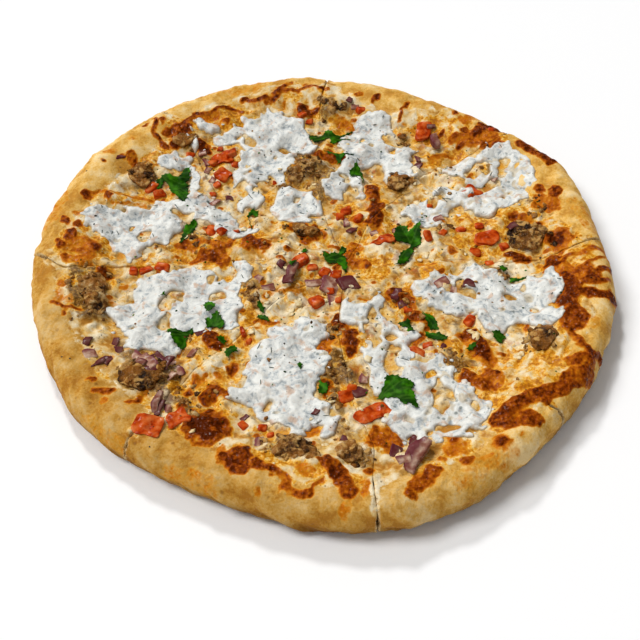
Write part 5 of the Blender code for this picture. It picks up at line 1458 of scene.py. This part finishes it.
# Outline of each leaf, seen from above, which starts at its stalk.
PARSLEY = {
    "parsley_1": (
        (-92, 69), (-90, 70.5), (-87.5, 71), (-83.5, 70), (-82, 71), (-81, 72.5), (-80.5, 74),
        (-79.5, 76), (-79, 77), (-76, 78.5), (-76.5, 76), (-75.5, 74), (-76.5, 72), (-75.5, 70),
        (-76, 67.5), (-78, 66.5), (-77, 65), (-75, 63), (-76, 61.5), (-77, 60), (-75.5, 58.5),
        (-74.5, 53.5), (-76, 53), (-75, 50), (-76, 50), (-76.5, 47.5), (-78.5, 48), (-80.5, 49.5),
        (-82, 52), (-83, 53.5), (-85, 55), (-86, 57.5), (-87, 60), (-87.5, 62.5), (-88.5, 64),
        (-90, 65), (-90.5, 63), (-91, 61), (-92.5, 58.5), (-94, 60), (-94.5, 63), (-95, 65),
        (-94, 66.5), (-92.5, 67)),
    "parsley_2": (
        (-69, 33.5), (-68.5, 32), (-69, 30.5), (-69.5, 27.5), (-70.5, 25), (-71.5, 22), (-73, 20),
        (-74.5, 19), (-75.5, 17.5), (-76.5, 16.5), (-77.5, 17), (-77, 20), (-76.5, 23), (-76, 26.5),
        (-75.5, 29.5), (-74.5, 31.5), (-73.5, 30.5), (-72.5, 33), (-71.5, 34.5), (-70.5, 35)),
    "parsley_3": (
        (4, 103), (1, 99.5), (-1, 98), (-2.5, 96.5), (-5, 97), (-6, 98.5), (-5, 99.5), (-7, 100),
        (-8, 103), (-8, 106), (-6, 106.5), (-3.5, 106.5), (-0.5, 105), (1, 107), (1.5, 109.5),
        (3.5, 110.5), (6, 109.5), (7, 107.5), (9.5, 107.5), (12.5, 108), (15, 109.5), (18, 110.5),
        (18.5, 108.5), (16, 107), (13, 106), (10.5, 104.5), (9.5, 103), (11, 102.8), (14, 102.6),
        (17, 102.4), (13.5, 101.5), (10.5, 100.5), (8, 98.5), (6.5, 97), (4.5, 98)),
    "parsley_4": (
        (20, 82.5), (20.5, 80), (22, 77.5), (23.5, 74), (23.5, 70), (23.8, 65.5), (23.5, 62.5),
        (23, 62.5), (22.5, 66.5), (21, 68), (18.5, 69), (17, 70), (16, 69), (15.5, 72.5),
        (15.5, 75), (17, 76.5), (18.5, 79.5)),
    "parsley_5": (
        (47.5, 16), (44.5, 16), (41.5, 16.5), (40.5, 16.5), (39, 18.5), (38.5, 21.5), (38.5, 24.5),
        (39.5, 26.5), (39.5, 29.5), (41, 31), (43, 32.5), (45, 31.5), (47, 31), (47, 28),
        (46.8, 26), (47.8, 27.5), (49, 28), (50, 29.5), (51.5, 30.5), (53, 32), (54, 34),
        (54.5, 33.5), (54, 29.5), (53, 27.5), (54, 26), (53.5, 23), (53.8, 20), (53.5, 17),
        (53, 15), (52, 15.5), (51, 13.5), (50, 14), (49, 13.5), (49, 10), (48, 8), (47, 6),
        (46, 3.5), (43.5, 2), (41.5, 1), (39.5, 0.5), (38, 0), (40, 3.5), (40.5, 6.5), (41.5, 9.5),
        (43, 11.5), (45.5, 13)),
    "parsley_6": (
        (1, 5), (0, 8), (0, 10.5), (1.5, 11), (3, 9.5), (4.5, 11), (6.5, 12.5), (8.5, 11.5),
        (9, 13.5), (10, 15.5), (11, 16.5), (12, 15), (13, 15), (13, 12.5), (12, 11.5), (10, 10),
        (12, 8.5), (13, 6.5), (12.5, 4.5), (13.5, 2), (13.5, -0.5), (13, -3), (12, -4.5),
        (10.5, -1.5), (8.5, 1), (6.5, 2.5), (4, 2.5), (2.5, 3.5)),
    "parsley_7": (
        (-54, -42), (-56, -42), (-57.5, -42.5), (-58.5, -42.5), (-59, -39.5), (-59.5, -37),
        (-58.5, -36), (-57, -35.5), (-56.5, -37), (-56.5, -33.5), (-55, -33), (-54.5, -31.5),
        (-53.5, -30.5), (-52, -32.5), (-52.5, -34), (-51, -34), (-51, -36.5), (-49.5, -37.5),
        (-49, -40), (-50, -42.5), (-51.5, -43.5), (-52.5, -43)),
    "parsley_8": (
        (-66.5, -46), (-67, -47), (-67.5, -48), (-66.5, -49), (-67.5, -50), (-67.5, -52.5),
        (-67.5, -54), (-68.5, -56), (-70, -56), (-71.5, -55), (-73.5, -53), (-74.5, -51),
        (-75.5, -49), (-75.5, -47), (-77, -47), (-78, -45.5), (-77.5, -44), (-76, -43.5),
        (-73.5, -43.5), (-71, -44.5), (-69, -44.5), (-67.5, -43.5), (-66, -42.5), (-65, -42),
        (-65, -43.5), (-64.5, -44.5), (-64.5, -46.5)),
    "parsley_9": (
        (25.5, -84), (27, -82), (28, -79.5), (29.5, -76.5), (30, -74.5), (30.5, -73), (33.5, -73),
        (36.5, -73), (37, -75), (39, -75), (41, -75), (41, -76.5), (42, -76.5), (43.5, -78),
        (44, -79.5), (43, -80), (43.5, -81), (42, -81.5), (43.5, -83), (44, -85), (43.5, -86),
        (45, -87), (44, -87.5), (45, -89.5), (45.5, -91.5), (43.5, -91.5), (42, -90), (40.5, -88.5),
        (39.5, -89.5), (38, -89), (36.5, -87.5), (35.5, -85.5), (34, -85), (31, -85), (28, -85)),
}
SMALL_LEAVES = (
    ((1, 89.5), (3.5, 89.5), (5.5, 88), (8.5, 87), (12, 87), (15.5, 86), (18.5, 86), (15.5, 85),
     (12.5, 84), (11, 81), (8.5, 80), (8, 83.5), (7, 86), (3.5, 87)),
    ((-59, -32.5), (-60, -30.5), (-61, -28.5), (-60, -26.5), (-58.5, -25.5), (-56.5, -26),
     (-54.5, -27.5), (-54.5, -29.5), (-56, -31.5), (-57.5, -32.5)),
    ((-53, -49.5), (-51, -48), (-49, -48.5), (-47.5, -51), (-48.5, -53.5), (-50, -52.5),
     (-51.5, -51.5)),
    ((-48.5, -58.5), (-47.5, -56.5), (-45.5, -55), (-43.5, -54), (-42, -55.5), (-41.5, -58),
     (-43.5, -58.5), (-45, -60), (-46, -61.5), (-47.5, -60.5)),
    ((-83, -23), (-82, -21), (-81, -20), (-79.5, -23.5)),
    ((-38, 28), (-39, 31), (-40, 34.5), (-40.5, 37.5), (-40, 38.5), (-38, 38.5), (-37, 37),
     (-35.5, 38), (-35.5, 40.5), (-35.5, 43), (-37.5, 43), (-38, 45), (-39, 44), (-40, 43),
     (-41, 40.5), (-42, 38), (-41, 36), (-40, 32), (-39, 28)),
    ((-11.5, 9.5), (-10.5, 11.5), (-9, 12.5), (-7.5, 11), (-8.5, 9.5), (-10.5, 8.5)),
    ((-18, 0), (-17, 1), (-15, 1), (-13, 2), (-13.5, -0.5), (-15, -2), (-16, -4), (-17.5, -3)),
    ((39, -37), (41, -37.5), (43, -36.5), (44.5, -37.5), (44.5, -40), (45.5, -41.5), (46.5, -44),
     (45, -44.5), (43, -44.5), (42, -43.5), (42.5, -41), (40.5, -41), (39, -40), (38, -38)),
    ((51, -31.5), (53, -32.5), (54.5, -32.5), (56, -33.5), (57, -35), (58, -37.5), (58, -39.5),
     (58.5, -42), (58.5, -44.5), (56.5, -42.5), (54, -42), (53, -39.5), (52.5, -37), (51, -35.5),
     (50.5, -33.5)),
    ((51.5, -42.5), (53, -42.5), (55.5, -43.5), (58.5, -44.5), (61, -46.5), (62.5, -47.5),
     (62, -49), (59.5, -50), (57, -49), (55, -48), (52.5, -47), (51.5, -45)),
    ((92.5, -0.5), (95, -0.5), (97.5, -1.5), (98, -2.5), (96.5, -4), (95, -5), (93.5, -3)),
    ((98, -6), (100, -6.5), (102, -6.5), (103.5, -8), (105, -7.5), (107, -7.5), (106.5, -9),
     (104.5, -9.5), (102.5, -10), (100, -10), (98, -10)),
    ((84.5, -45), (86.5, -44.5), (88.5, -44.5), (90, -46), (91.5, -47), (91.5, -48.5), (90, -49),
     (89.5, -51.5), (87.5, -51.5), (86.5, -50), (85, -48)),
    ((72.5, -53), (74.5, -52.5), (76.5, -52.5), (75.5, -55), (74, -56.5), (72, -56.5), (71, -55)),
    ((-33.5, -27), (-32, -26), (-31, -27.5), (-29, -29.5), (-29.5, -32.5), (-30.5, -33),
     (-32, -31.5), (-33.5, -29)),
    ((-33, -33), (-31, -33.5), (-29, -34), (-27.5, -35.5), (-26.5, -38), (-27.5, -39),
     (-29.5, -37.5), (-31.5, -36.5), (-33.5, -35)),
    ((-12.5, -67), (-11.5, -65.5), (-10.5, -66), (-9.5, -67), (-10, -69), (-10.5, -70.5),
     (-11, -70), (-12, -68.5)),
    ((-2, -76), (-1, -75), (0, -77), (2, -77), (3, -79), (2.5, -81.5), (2, -83.5), (0, -84),
     (-2, -83.5), (-2.5, -81.5), (-2, -79)),
)
LEAF_THICKNESS = 0.3
LEAF_SPACING = 0.8
TOOTH = 0.22                    # depth of the notch between two teeth, as a share of their distance
SAG = 25                        # the more rounds, the less a leaf dips between what it lies on
RIB_WIDTH = 0.45

# Fresh parsley leaf: matt deep green with paler patches, pale ribs and a fine net of veins.
fresh_parsley, tree, shader, place = new_finish("flat_leaf_parsley")
mottle = add(tree, "TexNoise", {"Vector": place, "Scale": cells(5), "Detail": 4})
green = add(tree, "ValToRGB", {"Fac": mottle}, stops=(
    (0.34, "#0C2C00"), (0.5, "#1B4600"), (0.66, "#3A7A06")))
rib = add(tree, "Attribute", attribute_name="rib", out="Fac")
rib_show = add(tree, "MapRange", {"Value": rib, "From Min": 0.2, "To Max": 0.35})
green = add(tree, "Mix", {FACTOR: rib_show, UNDER: green, OVER: linear("#55832A")}, **BLEND)
net = add(tree, "TexVoronoi", {"Vector": place, "Scale": cells(1.6)}, feature="DISTANCE_TO_EDGE")
net = add(tree, "MapRange", {"Value": net, "To Max": 0.25})
bump = add(tree, "Bump", {"Height": net, "Strength": 0.5, "Distance": 0.4 * MM})
plug(tree, shader, {"Base Color": green, "Normal": bump, "Roughness": 0.42,
                    "Specular IOR Level": 0.03})


def toothed(outline):
    """Notches a leaf's outline between its points, so that each point is a tooth."""
    ring = [np.array(point, float) for point in outline]
    after = ring[1:] + ring[:1]
    turn = np.sign(sum(a[0] * b[1] - b[0] * a[1] for a, b in zip(ring, after)))
    for a, b in zip(ring, after):
        run = b - a
        yield a
        yield (a + b) / 2 + TOOTH * turn * np.array((-run[1], run[0]))


def leaf_into(bm, outline):
    """Adds one leaf to a mesh: a fine sheet, laid on what is under it and folded at its ribs."""
    own = bmesh.new()
    own.faces.new([own.verts.new((x, y, 0)) for x, y in toothed(outline)])
    for axis in (0, 1):
        reach = [vert.co[axis] for vert in own.verts]
        for line in np.arange(min(reach), max(reach), LEAF_SPACING):
            point, normal = Vector((0, 0, 0)), Vector((0, 0, 0))
            point[axis], normal[axis] = line + LEAF_SPACING / 2, 1
            bmesh.ops.bisect_plane(own, geom=own.verts[:] + own.edges[:] + own.faces[:],
                                   dist=0.0001, plane_co=point, plane_no=normal)
    base = Vector(outline[0])
    far = [(Vector(point) - base).length for point in outline]
    neighbours = zip(outline, far, far[-1:] + far, far[1:] + far[:1])
    tips = [point for point, out, before, after in neighbours
            if out > max(before, after, 0.35 * max(far))]
    rib = own.verts.layers.float.new("rib")
    ground = [float(read(surface, *vert.co.xy)) for vert in own.verts]
    for vert, height in zip(own.verts, ground):
        vert.co.z = height
    for _ in range(SAG):
        bmesh.ops.smooth_vert(own, verts=own.verts, factor=0.5, use_axis_z=True)
    places = flat(own.verts)
    away = np.min([reach_from((base, tip), *places.T) for tip in tips], axis=0)
    rise = 0.18 * np.minimum(away, 4) + 0.35 * read(lumpy(9, 51), *places.T)
    for vert, height, distance, lift in zip(own.verts, ground, away, rise):
        vert[rib] = math.exp(-(distance / RIB_WIDTH) ** 2)
        vert.co.z = max(vert.co.z + 0.5 + lift, height + 0.3)
    skin = bpy.data.meshes.new("leaf")
    own.to_mesh(skin)
    own.free()
    bm.from_mesh(skin)
    bpy.data.meshes.remove(skin)


def leaf_piece(name, outlines, node=None):
    """One piece of one or more leaves, with the CAD node that it stands for."""
    bm = bmesh.new()
    for outline in outlines:
        leaf_into(bm, outline)
    bmesh.ops.recalc_face_normals(bm, faces=bm.faces)
    piece = mesh_object(name, bm)
    skin = piece.modifiers.new("skin", "SOLIDIFY")
    skin.thickness = LEAF_THICKNESS * MM
    skin.offset = 0
    apply_modifiers(piece)
    serve(piece, fresh_parsley, node)


for name, outline in PARSLEY.items():
    leaf_piece(f"{name}_leaf", [outline], name)
leaf_piece("parsley_small_leaves", SMALL_LEAVES)


# ---- Dill and dried herbs ----------------------------------------------------
# Chopped dill stirred into the sauce, as thin dark threads, and flecks of chopped and dried
# herbs strewn over the cheese and the sauce.

# Chopped dill in sauce: wet, so dark grey-green.
chopped_dill, tree, shader, _ = new_finish("chopped_dill")
plug(tree, shader, {"Base Color": linear("#3A4438"), "Roughness": 0.5})
DILL = spots_near([(1, 26, pool[0], pool[len(pool) // 2], pool[-4]) for pool in POOLS],
                  120, (1.4, 3.6), 26)
DILL = [(x, y, length * 1.5, 0.45, 0.4, turn) for x, y, length, _, _, turn in DILL
        if read(sauced, x, y) > 0]
lay_out("dill_threads", DILL, strip, chopped_dill, rise=0.1)
HERBS = spots_near(ALL_OVER, 130, (0.8, 1.6), 24, thick=0.3)
lay_out("herb_flecks", HERBS, grain, fresh_parsley)


# ---- Floor, light and camera -------------------------------------------------
# A plain pale floor, just under the pizza, and soft studio light, strongest from the left.
# The camera looks down from the front at about 51 degrees.
FLOOR_HALF, FLOOR_DROP = 3000, 0.3
bm = bmesh.new()
bmesh.ops.create_grid(bm, x_segments=1, y_segments=1, size=FLOOR_HALF)
bmesh.ops.translate(bm, vec=(0, 0, -FLOOR_DROP), verts=bm.verts)
floor = mesh_object("floor", bm)
pale_floor, tree, shader, _ = new_finish("pale_floor")
plug(tree, shader, {"Base Color": linear("#FEFEFE"), "Roughness": 0.7})
floor.data.materials.append(pale_floor)

scene = bpy.context.scene
scene.view_settings.view_transform = "Standard"
world = bpy.data.worlds.new("studio")
world.use_nodes = True
plug(world.node_tree, world.node_tree.nodes["Background"],
     {"Color": linear("#FFFFFF"), "Strength": 0.22})
scene.world = world

# Name, strength, width in degrees and where from.
for name, energy, width, source in (
        ("soft_key", 1.8, 24, (-0.70, 0.10, 0.90)), ("far_lamp", 1.22, 7, (-0.30, 0.80, 0.80)),
        ("near_fill", 0.3, 110, (-0.30, -0.60, 0.90))):
    lamp = bpy.data.lights.new(name, "SUN")
    lamp.energy = energy
    lamp.angle = math.radians(width)
    light = bpy.data.objects.new(name, lamp)
    light.rotation_euler = (-Vector(source)).to_track_quat("-Z", "Y").to_euler()
    scene.collection.objects.link(light)

camera = bpy.data.objects.new("camera", bpy.data.cameras.new("camera"))
camera.data.sensor_width = 36
camera.data.lens = 56.25
camera.location = (-0.0013, -0.3581, 0.4028)
camera.rotation_euler = (math.radians(39.44), 0, 0)
scene.collection.objects.link(camera)
scene.camera = camera
